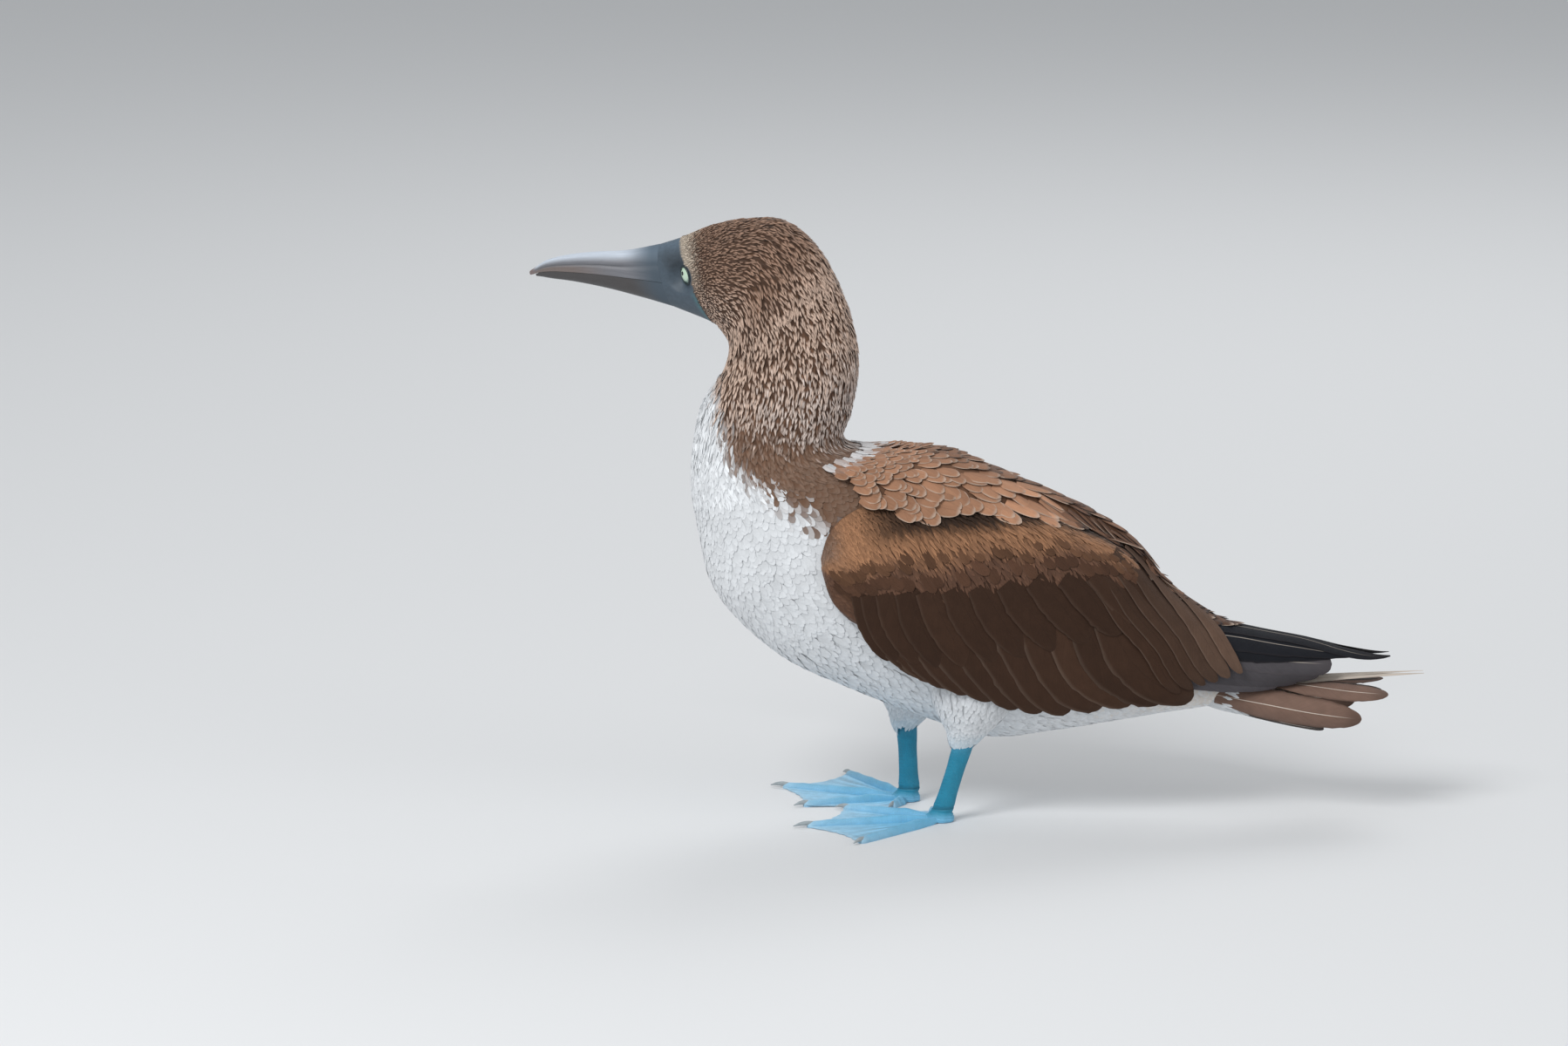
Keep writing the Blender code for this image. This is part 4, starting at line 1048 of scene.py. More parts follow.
def thigh_form(side, leg_x):
    """One thigh, from the belly down to the top of the bare leg."""
    rows = []
    for k, (front, back, height, half_width) in enumerate(THIGH_RINGS):
        middle = leg_x[1] + THIGH_BACK * (len(THIGH_RINGS) - 1 - k)
        rows.append((middle + front, LEG_TOP + height, middle + back, LEG_TOP + height, half_width, 0.0))
    return Ovals(rows, aside=side * (LEG_SPREAD - 1.0))


class BOOBY_OT_skin(bpy.types.Operator):
    """Makes the one skin of head, neck and trunk, with the bare face and the sockets of the eyes"""

    bl_idname = "booby.skin"
    bl_label = "Skin"

    def execute(self, context):
        plumage = arrays(context.scene.booby_plumage)
        colours = arrays(context.scene.booby_bare)
        body = body_form()
        stops = np.concatenate([np.linspace(0.0, 1.6, 90), np.linspace(1.6, TAIL_ROOT, 200)[1:]])
        u, a = grid(stops, circle(160, -math.pi))
        depth = 0.9 * smooth(FEATHER_LINE - 0.1, 1.5, u) + 0.6 * smooth(9.0, 12.0, u)
        bare = 1 - smooth(FEATHER_LINE - 0.06, FEATHER_LINE + 0.1, u)
        for side in (-1, 1):
            height, aside = from_eye(body.bare(u, a), side)
            rim = 1 - smooth(LID_RADIUS + 0.4, LID_RADIUS + 1.2, aside)
            bare = np.maximum(bare, rim * (height > EYE_BEHIND))
        turn = from_top(a)
        patch = bell(turn - 62, 22) * smooth(0.0, 0.5, u)
        gape = smooth(0.75, 0.98, u) * smooth(95, 115, turn)
        # The face skin is lighter along its top, a painted highlight meeting the one along the bill's ridge;
        # the darker patch before the eye is its own colour.
        face = colours.face * (1.12 - 0.5 * patch + 0.55 * (1 - smooth(22, 50, turn)))[..., None]
        face = blend(face, colours.gape, gape * 0.7)
        root = blend(markings(u, a, plumage)[0], face, bare)
        skin = Mesh()
        unwrap = unwrapped(u, a, TAIL_ROOT)
        tube(skin, body.point(u, a, -depth), root_colour=root, bare=bare, OFBake=unwrap)
        for side, _, leg_x, _ in SIDES:
            thigh = thigh_form(side, leg_x)
            u, a = grid(np.linspace(0, 4, 24), circle(48, -math.pi))
            white = np.broadcast_to(plumage.white * 0.86, (*u.shape, 3))
            unwrap = thigh_unwrapped(u, a)
            tube(skin, thigh.point(u, a, -1.2), root_colour=white, bare=np.zeros(u.shape), OFBake=unwrap)
        skin.build("skin", skin_finish(), "streaked_feathers", ("head", "neck", "torso"), 180.0)
        return {"FINISHED"}


class BOOBY_OT_head_coat(bpy.types.Operator):
    """Lays the streaked feathers of the head and neck"""

    bl_idname = "booby.head_coat"
    bl_label = "Head and neck feathers"

    def execute(self, context):
        plumage = arrays(context.scene.booby_plumage)
        draw = np.random.default_rng(plumage.seed)
        body = body_form()
        longest = plumage.neck_feather / MM
        finish = feather_finish("streaked_feathers", 0.85, True)
        bands = (
            ("face_feathers", 0.97, 2.4, 118),
            ("head_feathers", 2.3, 5.6, 112),
            ("neck_feathers", 5.3, 11.2, 132),
        )

        def pitch(u, a):
            return longest * (0.12 + 0.19 * smooth(1.0, 5.0, u))

        for name, first, last, columns in bands:
            root = scattered(body, first, last, columns, pitch, draw)
            root = root[clear_of_eyes(body.bare(root[:, 0], root[:, 1]))]
            u, a = root.T
            count = len(u)
            turn = from_top(a)
            grown = smooth(0.9, 4.6, u)
            low = smooth(8.6, 10.4, u)
            length = longest * (0.30 + 0.70 * grown - 0.12 * low) * draw.uniform(0.75, 1.2, count)
            clump = 0.22 * np.sin(u * 5.3 + 3 * np.sin(a * 4)) * np.sin(a * 9 + u * 2)
            tip = pointed(body, root, length, draw, 0.15, clump)
            cap = (1 - smooth(40, 90, turn)) * (1 - smooth(3.5, 5.0, u))
            width = (1.15 + 1.0 * grown + 1.3 * low) * (1 - 0.22 * cap)
            nape = smooth(2.6, 4.5, u) * (1 - smooth(60, 125, turn)) * (1 - low)
            front = smooth(120, 150, turn)
            rise = (0.25 + 0.65 * smooth(1.2, 4.0, u) + 0.25 * nape) * (1 - 0.7 * low) * (1 - 0.6 * front)
            rise = rise * draw.uniform(0.3, 1.3, count) - 0.35
            lift = paired(-0.15 - 1.1 * smooth(0.95, 1.6, u), rise)
            mesh = Mesh()
            tufts(
                mesh, body, root, tip, width * draw.uniform(0.8, 1.15, count), lift, LANCE,
                markings(u, a, plumage, draw), unwrapped(u, a, TAIL_ROOT),
                seed=draw.uniform(0, 1, count), camber=0.4, tilt=draw.normal(0, 0.3, count),
                bend=draw.normal(0, 0.7, count) * grown,
            )
            mesh.build(name, finish, "streaked_feathers")
        return {"FINISHED"}


class BOOBY_OT_body_coat(bpy.types.Operator):
    """Lays the white feathers of breast, belly, undertail and thighs"""

    bl_idname = "booby.body_coat"
    bl_label = "Body feathers"

    def execute(self, context):
        plumage = arrays(context.scene.booby_plumage)
        draw = np.random.default_rng(plumage.seed + 1)
        body = body_form()
        longest = plumage.breast_feather / MM
        finish = feather_finish("white_feathers", 0.9, False)
        bands = (("breast_feathers", 10.0, 14.5, 128), ("belly_feathers", 14.2, 21.9, 92))
        for name, first, last, columns in bands:
            root = scattered(body, first, last, columns, lambda u, a: np.full(len(u), longest * 0.34), draw)
            root = root[(root[:, 0] < 12.9) | (from_top(root[:, 1]) > 62)]
            u, a = root.T
            count = len(u)
            small = 1 - smooth(10.0, 12.5, u)
            length = longest * (1.15 - 0.35 * small) * draw.uniform(0.8, 1.2, count)
            tip = pointed(body, root, length, draw, 0.14, 0.1 * np.sin(u * 6 + a * 5))
            lift = paired(-1.35, draw.uniform(-0.45, -0.1, count))
            mesh = Mesh()
            tufts(
                mesh, body, root, tip, draw.uniform(4.6, 6.6, count) * (1 - 0.3 * small), lift,
                ROUND_TUFT, markings(u, a, plumage, draw), unwrapped(u, a, TAIL_ROOT),
                seed=draw.uniform(0, 1, count), camber=0.12, tilt=draw.normal(0, 0.04, count),
                bend=draw.normal(0, 0.6, count),
            )
            if name == "belly_feathers":
                for side, _, leg_x, _ in SIDES:
                    self.thigh(mesh, side, leg_x, plumage, draw)
            mesh.build(name, finish, "white_feathers")
        return {"FINISHED"}

    def thigh(self, mesh, side, leg_x, plumage, draw):
        thigh = thigh_form(side, leg_x)
        root = scattered(thigh, 0.3, 3.92, THIGH_COLUMNS, lambda u, a: np.full(len(u), 2.4), draw)
        count = len(root)
        tip = pointed(thigh, root, draw.uniform(5.5, 9.0, count), draw, 0.14)
        white = plumage.white
        low = smooth(2.4, 4.0, root[:, 0])
        # The lower thigh's feathers blend toward the bluish painted shade.
        colours = (blend(white * 0.86, PAINTED_THIGH_SHADE, low * 0.5), blend(white, PAINTED_THIGH_SHADE, low * 0.35))
        lift = paired(-1.0, draw.uniform(-0.45, 0.0, count) - 0.9 * low)
        tufts(
            mesh, thigh, root, tip, draw.uniform(2.6, 3.8, count), lift, TUFT,
            colours, thigh_unwrapped(*root.T),
            seed=draw.uniform(0, 1, count), camber=0.12, bend=draw.normal(0, 0.6, count),
        )


class Raised(Form):
    """The places of a bed as they show where feathers lie some way above it."""

    def __init__(self, bed, level):
        self.bed = bed
        self.level = level
        self.field = bed.field
        self.step = bed.step

    def bare(self, u, a):
        return self.bed.point(u, a, self.level)


def drawn(form, lines, outline, level=0.0):
    """Paths of blades above a form, each a smooth curve through pixels of the photograph."""
    stops = np.array(outline)[:, 0]
    raised = Raised(form, level)
    found = [raised.find([photo(*pixel) for pixel in line]) for line in lines]
    return np.array([catmull(places, stops * (len(places) - 1)) for places in found])


def between(first, last, count):
    """Lines spaced evenly from the first line to the last."""
    first = np.array(first, float)
    return first + (np.array(last, float) - first) * np.linspace(0, 1, count)[:, None, None]


def swept(form, root, length, angle):
    """Tips of feathers that run down and back in the side view, by an angle below level."""
    angle = np.broadcast_to(np.asarray(angle, float), (len(root),))
    aim = np.stack([np.cos(angle), np.zeros(len(root)), -np.sin(angle)], -1)
    u, a = form.stepped(root[:, 0], root[:, 1], aim)
    step = paired(u, a) - root
    run = np.linalg.norm(form.bare(u, a) - form.bare(root[:, 0], root[:, 1]), axis=-1)
    return root + step * (length / np.maximum(run, 0.3))[:, None]


def spread(points, count):
    """Places along a line of side-view points, a little closer together near its start."""
    rows = np.array(points, float)
    runs = np.concatenate([[0.0], np.cumsum(np.linalg.norm(np.diff(rows, axis=0), axis=1))])
    stops = np.linspace(0, 1, count) ** 1.3 * runs[-1]
    return catmull(rows, np.interp(stops, runs, np.arange(len(rows))))


def beside_midline(bed, places, width):
    """The places moved down the side where a blade of this width would cross the bird's midline."""
    half = catmull(bed.rows, places[:, 0])[:, 4]
    return paired(places[:, 0], np.maximum(places[:, 1], (width / 2 + 1.0) / np.maximum(half, 1.0)))


def kept_left(mesh):
    """Every part held clear of the midline on the bird's left side."""
    for points, _, _, _ in mesh.parts:
        points[:, 1] = np.minimum(points[:, 1], -MIDLINE_GAP)


def shell(mesh, top, low, **values):
    """A closed plate between two grids of points."""
    rows, columns, _ = top.shape
    count = rows * columns
    face = grid_quads(rows, columns)
    faces = np.vstack([face, face[:, ::-1] + count, rim_quads(rows, columns)])

    def both(value):
        flat = np.asarray(value, float).reshape(count, -1)
        return np.concatenate([flat, flat])

    mesh.add(np.stack([top, low]), faces, **{name: both(value) for name, value in values.items()})


def tube(mesh, rings, **values):
    """A closed loft through rings of points, with a fan over each end."""
    rows, columns, _ = rings.shape
    count = rows * columns
    here = np.arange(columns)
    after = (here + 1) % columns
    last = count - columns
    start = np.stack([np.full(columns, count), here, after], -1)
    end = np.stack([np.full(columns, count + 1), last + after, last + here], -1)

    def capped(value):
        value = np.asarray(value, float).reshape(rows, columns, -1)
        return np.concatenate([value.reshape(count, -1), value[[0, -1], 0]])

    points = np.concatenate([rings.reshape(-1, 3), rings[[0, -1]].mean(axis=1)])
    caps = np.vstack([start, end])
    values = {name: capped(value) for name, value in values.items()}
    mesh.add(points, grid_quads(rows, columns, closed=True), caps, **values)


def frayed(draw, size, amount):
    """Shares of the width for blades by stations by places across, uneven along their rims."""
    rim = np.abs(np.linspace(-1, 1, size[2])) > 0.9
    return 1 + draw.normal(0, amount, size) * rim


def ended(rings, reach, count=5):
    """The rings with a rounded end that reaches on by a length in millimetres."""
    centre = rings[-1].mean(axis=0)
    ahead = unit(centre - rings[-2].mean(axis=0))
    extra = []
    for k in range(1, count + 1):
        turn = math.pi / 2 * k / count * 0.97
        extra.append(centre + (rings[-1] - centre) * math.cos(turn) + ahead * reach * math.sin(turn))
    return np.concatenate([rings, np.array(extra)])


def vane_finish(name, roughness, fringe, lead, shaft, sheen=0.1):
    """Larger feathers: fine barbs, a shaft, a fringe round the tip and a paler leading edge."""
    finish = Finish(name, Roughness=roughness, Sheen_Weight=sheen, Sheen_Roughness=0.45)
    finish.set("Specular IOR Level", 0.15)
    along, across, seed = map(finish.value, ("along", "across", "seed"))
    run, reach = map(finish.value, ("run", "reach"))
    side = abs(across)
    share = (along.step(0.82, 0.98).most(side.step(0.76, 1.0)) * along.step(0.1, 0.6)) * fringe
    share = share.most((across * -1.0).step(0.78, 1.0) * (1.0 - along.step(0.8, 0.98)) * lead)
    colour = finish.mix(share, finish.colour("root_colour"), finish.colour("tip_colour"))
    middle = 1.0 - abs(reach).step(0.18, 0.42)
    quill = middle * (1.0 - along.step(0.8, 0.97))
    colour = finish.mix(quill * shaft, colour, finish.colour("shaft_colour"))
    barb = finish.node("CombineXYZ", X=(run - abs(reach) * 1.5) * 1.1, Y=abs(reach) * 0.09, Z=seed * 40.0)
    streaks = finish.noise(1.0, 3.0, 0.65, barb)
    patch = finish.node("CombineXYZ", X=run * 0.12, Y=reach * 0.16, Z=seed * 30.0)
    blotch = finish.noise(1.0, 2.0, 0.5, patch)
    tone = (0.66 + streaks * 0.34 + blotch * 0.34) * (0.88 + seed * 0.24)
    finish.set("Base Color", finish.scaled(colour, tone))
    fine = (run * 13.0 - abs(reach) * 17.0).sine() * 0.12
    finish.bump(streaks * 0.8 + fine + quill * 0.9, 0.55, 0.0004)
    return finish.material


class BOOBY_OT_mantle(bpy.types.Operator):
    """Lays the roof-tile feathers of the mantle and the scapulars between the wings"""

    bl_idname = "booby.mantle"
    bl_label = "Mantle"

    def execute(self, context):
        plumage = arrays(context.scene.booby_plumage)
        draw = np.random.default_rng(plumage.seed + 2)
        bed = wing_bed()

        def reach(u):
            return np.radians(at(SCAPULAR_REACH, u))

        def ruffle(u, a):
            return at(RIDGE, u) * (1 - smooth(0.3, 1.0, np.abs(a) / reach(u)))

        brown = plumage.mantle
        fringe = plumage.fringe

        mesh = Mesh()
        first, last = MANTLE_BED
        u, v = grid(np.linspace(first, last, 76), np.linspace(-1, 1, 60))
        a = v * reach(u)
        crown = 1 - np.abs(v) ** 4
        ends = np.minimum(1.0, np.minimum(u - first, last - u) / 0.5) ** 0.5
        top = bed.point(u, a, 1.2 + (1.6 * crown + ruffle(u, a)) * ends)
        dark = np.broadcast_to(brown * 0.55, (*u.shape, 3))
        values = {"root_colour": dark, "tip_colour": dark, "shaft_colour": dark}
        shell(mesh, top, bed.point(u, a, 0.5), **values, OFBake=paired(0.9 + u * 0.01, 0.5 + v * 0.02))

        rows = []
        u, end = MANTLE_ROWS
        while u < end:
            size = float(at(MANTLE_SIZES, u))
            half = float(catmull(bed.rows, np.array(u))[4])
            count = max(int((float(reach(u)) * half + float(at(MANTLE_PAST, u))) / size), 1)
            for k in range(-count, count + 1):
                a = (k + 0.5 * (len(rows) % 2)) * size / half
                place = (u + draw.normal(0, 0.045), a + draw.normal(0, 0.02))
                rows.append((*place, size * draw.uniform(0.88, 1.12)))
            rows.append((u, 0.0, size))
            run = np.linalg.norm(bed.slopes(np.array(u), np.array(0.5))[0])
            u += size * 0.86 / run
        u, a, size = np.array(rows).T
        root = paired(u, a)
        span = np.abs(a) / reach(u)
        rear = smooth(3.9, 4.6, u)
        length = size * draw.uniform(1.9, 2.25, len(size)) * (1 + 0.65 * rear)
        tip = pointed(bed, root, length, draw, 0.1, 0.06 * np.sign(a))
        ridge = 1 - smooth(0.1, 0.3, span)
        rise = 4.4 + 2.6 * smooth(0.5, 1.0, span) * smooth(0.9, 2.0, u)
        rise = rise + 2.0 * ridge * draw.uniform(0, 1, len(size)) * (1 - 0.6 * rear) + 1.3 * rear
        rise = rise - 2.5 * smooth(8.8, 10.3, u) + ruffle(*tip.T)
        front = 1 - smooth(0.7, 1.3, u)
        rise = rise * (1 - 0.5 * front)
        start = (1.9 + 1.2 * rear) * (1 - 0.85 * front) + ruffle(u, a)
        worn = np.clip(smooth(4.7, 5.5, u) + ridge * smooth(1.6, 2.4, u) * 0.8, 0, 1)
        base = blend(brown, plumage.rufous * 1.1, worn * draw.uniform(0.5, 1.0, len(size)))
        base = base * draw.uniform(0.85, 1.12, (len(size), 1)) * (1 - 0.35 * smooth(7.5, 9.0, u[:, None]))
        edge = blend(fringe, plumage.primary * 1.5, worn * (draw.uniform(0, 1, len(size)) < 0.7))
        pale = 1 - smooth(0.95, 1.4, u + draw.normal(0, 0.12, len(size)) + 0.35 * span)
        base = base * (1.1 + 0.45 * smooth(3.0, 4.4, u) * (1 - worn))[:, None]
        base = blend(base, plumage.white * 0.85, pale * 0.85)
        edge = blend(edge, plumage.white, pale)
        order = np.argsort(u)
        vanes(
            mesh, bed, root[order], tip[order], (size * (1.5 - 0.35 * rear))[order],
            paired(start, rise)[order], rounded(10, 0.75, 3.2), 7, (base[order], edge[order]),
            thick=0.3, seed=draw.uniform(0, 1, len(size)), camber=0.8,
            tilt=(0.4 * np.sign(a) + draw.normal(0, 0.3, len(size)))[order],
            bend=draw.normal(0, 0.8, len(size)), shaft_colour=base[order] * 0.6,
        )
        finish = vane_finish("mantle_feathers", 0.8, 0.75, 0.0, 0.25)
        mesh.build("mantle_feathers", finish, "brown_feathers", ("mantle",))
        return {"FINISHED"}


def wing_pad(bed):
    """The padded front of the wing, on which its coverts lie."""

    def height(s, v):
        ends = np.clip(np.minimum(s, 1 - s) / WING_END, 0, 1) ** 0.6
        return WING_BORDER + (at(WING_PROFILE, v) - WING_BORDER) * ends

    return Pad(bed, WING_UPPER, WING_LOWER, height)


class BOOBY_OT_wings(bpy.types.Operator):
    """Lays both folded wings, from the small coverts to the primaries"""

    bl_idname = "booby.wings"
    bl_label = "Wings"

    def execute(self, context):
        plumage = arrays(context.scene.booby_plumage)
        bed = wing_bed()
        pad = wing_pad(bed)
        small = feather_finish("covert_feathers", 0.8, False)
        large = vane_finish("flight_feathers", 0.85, 0.04, 0.26, 0.12, 0.02)
        dark = vane_finish("primary_feathers", 0.7, 0.04, 0.05, 0.6, 0.0)
        for k, name in enumerate(("left", "right")):
            draw = np.random.default_rng(plumage.seed + 10 + k)
            coverts = self.coverts(pad, plumage, draw)
            flight = self.flight(bed, pad, plumage, draw)
            primaries = self.primaries(bed, plumage, draw)
            for mesh, piece, finish, slot, nodes in (
                (coverts, "coverts_", small, "brown_feathers", (f"wing_{name}",)),
                (flight, "flight_feathers_", large, "brown_feathers", ()),
                (primaries, "primaries_", dark, "brown_feathers", ()),
            ):
                kept_left(mesh)
                mesh = mesh.mirrored() if name == "right" else mesh
                mesh.build(piece + name, finish, slot, nodes)
        return {"FINISHED"}

    def coverts(self, pad, plumage, draw):
        mesh = Mesh()
        golden = plumage.covert
        rufous = plumage.rufous

        def shades(s, v):
            """How far a place is rufous, and its root and tip colours, with painted shade under the
            scapulars.
            """
            front = 1 - smooth(0.08, 0.3, s)
            band = smooth(0.3, 0.5, v + 0.03 * np.sin(s * 40)) * smooth(0.0, 0.1, s)
            band = np.clip(band + front * smooth(0.25, 0.7, v), 0, 1)
            cape = (1 - smooth(0.1, 0.24, s)) * (1 - smooth(0.1, 0.42, v))
            # Painted shade: a dark band just under the scapulars' lower edges, along the middle of the wing.
            shade = 1 - 0.9 * (1 - smooth(0.19, 0.29, v)) * smooth(0.26, 0.42, s) * (1 - smooth(0.7, 0.88, s))
            base = blend(golden * 1.35, rufous * 1.05, band) * shade[..., None]
            edge = blend(golden * 1.9, rufous * 1.3, band) * shade[..., None]
            base = blend(base, plumage.shoulder, cape)
            edge = blend(edge, blend(plumage.shoulder, plumage.fringe, 0.13), cape)
            return band + 2.2 * cape, base, edge

        s, v = grid(np.linspace(0, 1, 70), np.linspace(0, 1, 40))
        u, a = pad.place(s, v)
        brown = shades(s, v)[1] * 0.8
        top = pad.bed.point(u, a, np.maximum(pad.height(s, v) - 1.6, 0.9))
        values = {"root_colour": brown, "tip_colour": brown, "seed": np.full(s.shape, 0.5)}
        shell(mesh, top, pad.bed.point(u, a, 0.6), **values, OFBake=inset(paired(s, v)))

        columns, rows = SMALL_COVERTS
        s, v = grid((np.arange(columns) + 0.5) / columns, (np.arange(rows) + 0.3) / rows)
        s = s + (np.arange(rows) % 2 * 0.5 / columns)[None] + draw.uniform(-0.35, 0.35, s.shape) / columns
        v = v + draw.uniform(-0.4, 0.4, v.shape) / rows
        root = paired(np.clip(s, 0.004, 0.985).ravel(), np.clip(v, 0.0, 1.0).ravel())
        root = root[(root[:, 1] < 0.66) | (root[:, 0] < 0.3 + 0.06 * root[:, 1])]
        s, v = root.T
        count = len(root)
        front = 1 - smooth(0.08, 0.3, s)
        rear = smooth(0.72, 0.95, s)
        angle = math.radians(60) - 0.35 * rear - 0.3 * front + draw.normal(0, 0.14, count)
        length = 4.5 + 5.0 * smooth(0.0, 0.3, v) * smooth(0.0, 0.2, s) + 1.5 * rear
        length = length * draw.uniform(0.85, 1.2, count)
        tip = np.clip(swept(pad, root, length, angle), 0.0, 1.0)
        band, base, edge = shades(s, v)
        tone = draw.uniform(0.8, 1.2, (count, 1))
        tufts(
            mesh, pad, root, tip, draw.uniform(1.3, 2.1, count) + 0.9 * band,
            paired(-1.1, draw.uniform(-0.45, 0.05, count)), LANCE, (base * tone, edge * tone), inset(root),
            seed=draw.uniform(0, 1, count), camber=0.22, tilt=draw.normal(0.03, 0.08, count),
            bend=draw.normal(0, 0.5, count),
        )
        return mesh

    def row(self, mesh, bed, start, end, width, lifts, outline, across, colours, draw, **shape):
        """One row of large feathers, alike but for chance."""
        count = len(start)
        ragged = frayed(draw, (count, len(outline), across), 0.025)
        tone = draw.uniform(0.88, 1.12, (count, 1))
        vanes(
            mesh, bed, start, end, width * draw.uniform(0.94, 1.06, count), paired(*lifts),
            outline, across, (colours[0] * tone, colours[1] * tone),
            seed=draw.uniform(0, 1, count), ragged=ragged,
            shaft_colour=np.broadcast_to(colours[2], (count, 3)), thick=0.4,
            **shape,
        )

    def placed(self, bed, roots, tips, count, width, draw):
        """Root and tip places of a row between two lines of the side view."""
        start = beside_midline(bed, bed.find(spread(roots, count)), width)
        end = beside_midline(bed, bed.find(spread(tips, count)), width)
        return start, end + draw.normal(0, 1, end.shape) * (0.012, 0.004)

    def flight(self, bed, pad, plumage, draw):
        mesh = Mesh()
        chocolate = plumage.flight
        rufous = plumage.rufous
        tertial = plumage.tertial
        pale = plumage.fringe

        # Secondaries, then the greater coverts over their roots; the first three blades are narrower
        count = FLIGHT_BLADES
        start, end = self.placed(bed, SECONDARY_ROOTS, SECONDARY_TIPS, count, 28.0, draw)
        width = at(FLIGHT_WIDTHS, np.arange(count))
        self.row(
            mesh, bed, start, end, width, (6.4, 6.9), rounded(26, 0.8, 7), 11,
            (chocolate, blend(chocolate, pale, 0.3), chocolate * 0.5), draw, tilt=1.0, camber=0.5,
        )
        start, end = self.placed(bed, COVERT_ROOTS, COVERT_TIPS, count, 25.0, draw)
        covert = (blend(chocolate, rufous, 0.15) * 0.75, blend(chocolate, pale, 0.12), chocolate * 0.5)
        self.row(
            mesh, bed, start, end, width - 2.0, (8.6, 7.3), rounded(20, 0.8, 3), 9,
            covert, draw, tilt=0.7, camber=0.3,
        )

        # Tertials, browner and more worn toward the rear
        count = len(TERTIAL_WEAR)
        brown = blend(chocolate * 0.9, tertial * 0.85, np.array(TERTIAL_WEAR))
        outline = rounded(26, 0.75, 8)
        path = drawn(bed, between(INNER_TERTIAL, OUTER_TERTIAL, count), outline, 8.6)
        level = np.linspace(8.0, 9.4, count)
        width = draw.uniform(10, 13.5, count)
        self.row(
            mesh, bed, path[:, 0], path[:, -1], width, (level, level - 0.3), outline, 9,
            (brown, blend(brown, pale, 0.3), brown * 0.5), draw, tilt=0.6, camber=0.5, path=path,
        )

        # Median coverts on the pad: place across it, count, width, length and lift of the tips
        for v, count, width, length, lift in ((0.52, 30, 9.0, 14.0, 0.25), (0.42, 34, 7.0, 11.0, 0.15)):
            s = np.linspace(0.13, 0.93, count) + draw.normal(0, 0.004, count)
            root = paired(s, v + 0.03 * np.sin(s * 9) + draw.normal(0, 0.022, count))
            length = length * draw.uniform(0.75, 1.25, count)
            tip = swept(pad, root, length, math.radians(54) - 0.3 * smooth(0.7, 0.95, s))
            tone = draw.uniform(0.82, 1.2, (count, 1))
            base = blend(rufous * 0.85, plumage.covert * 0.85, 1 - smooth(0.3, 0.5, v)) * tone
            vanes(
                mesh, pad, root, tip, width * draw.uniform(0.9, 1.1, count), (-1.0, lift),
                rounded(10, 0.75, 4), 7, (base, blend(base, pale, 0.1)),
                seed=draw.uniform(0, 1, count), camber=0.4, tilt=draw.normal(0.3, 0.15, count),
                bend=draw.normal(0, 1.0, count), shaft_colour=base * 0.6,
            )
        return mesh

    def primaries(self, bed, plumage, draw):
        mesh = Mesh()
        black = plumage.primary
        grey = plumage.worn
        for lines, width, levels, outline, colour in (
            (PRIMARY_LINES, 20.0, (5.2, 4.2), refined(POINTED, 34), black),
            (WORN_LINES, 16.0, (3.4, 2.2), rounded(34, 0.8, 16), grey),
        ):
            count = len(lines)
            path = drawn(bed, lines, outline, levels[1])
            level = np.linspace(*levels, count)
            colours = (colour, blend(colour, plumage.shoulder, 0.7), plumage.cream * 0.7)
            self.row(
                mesh, bed, path[:, 0], path[:, -1], width, (level, level), outline, 11, colours, draw,
                tilt=0.3, camber=0.4, path=path,
            )
        return mesh


def reached(form, x, a):
    """The stations where the lines at the angles a reach x."""
    stops = np.linspace(0, len(form.rows) - 1, 400)
    return np.array([np.interp(x, form.bare(stops, np.full(400, turn))[:, 0], stops) for turn in a])


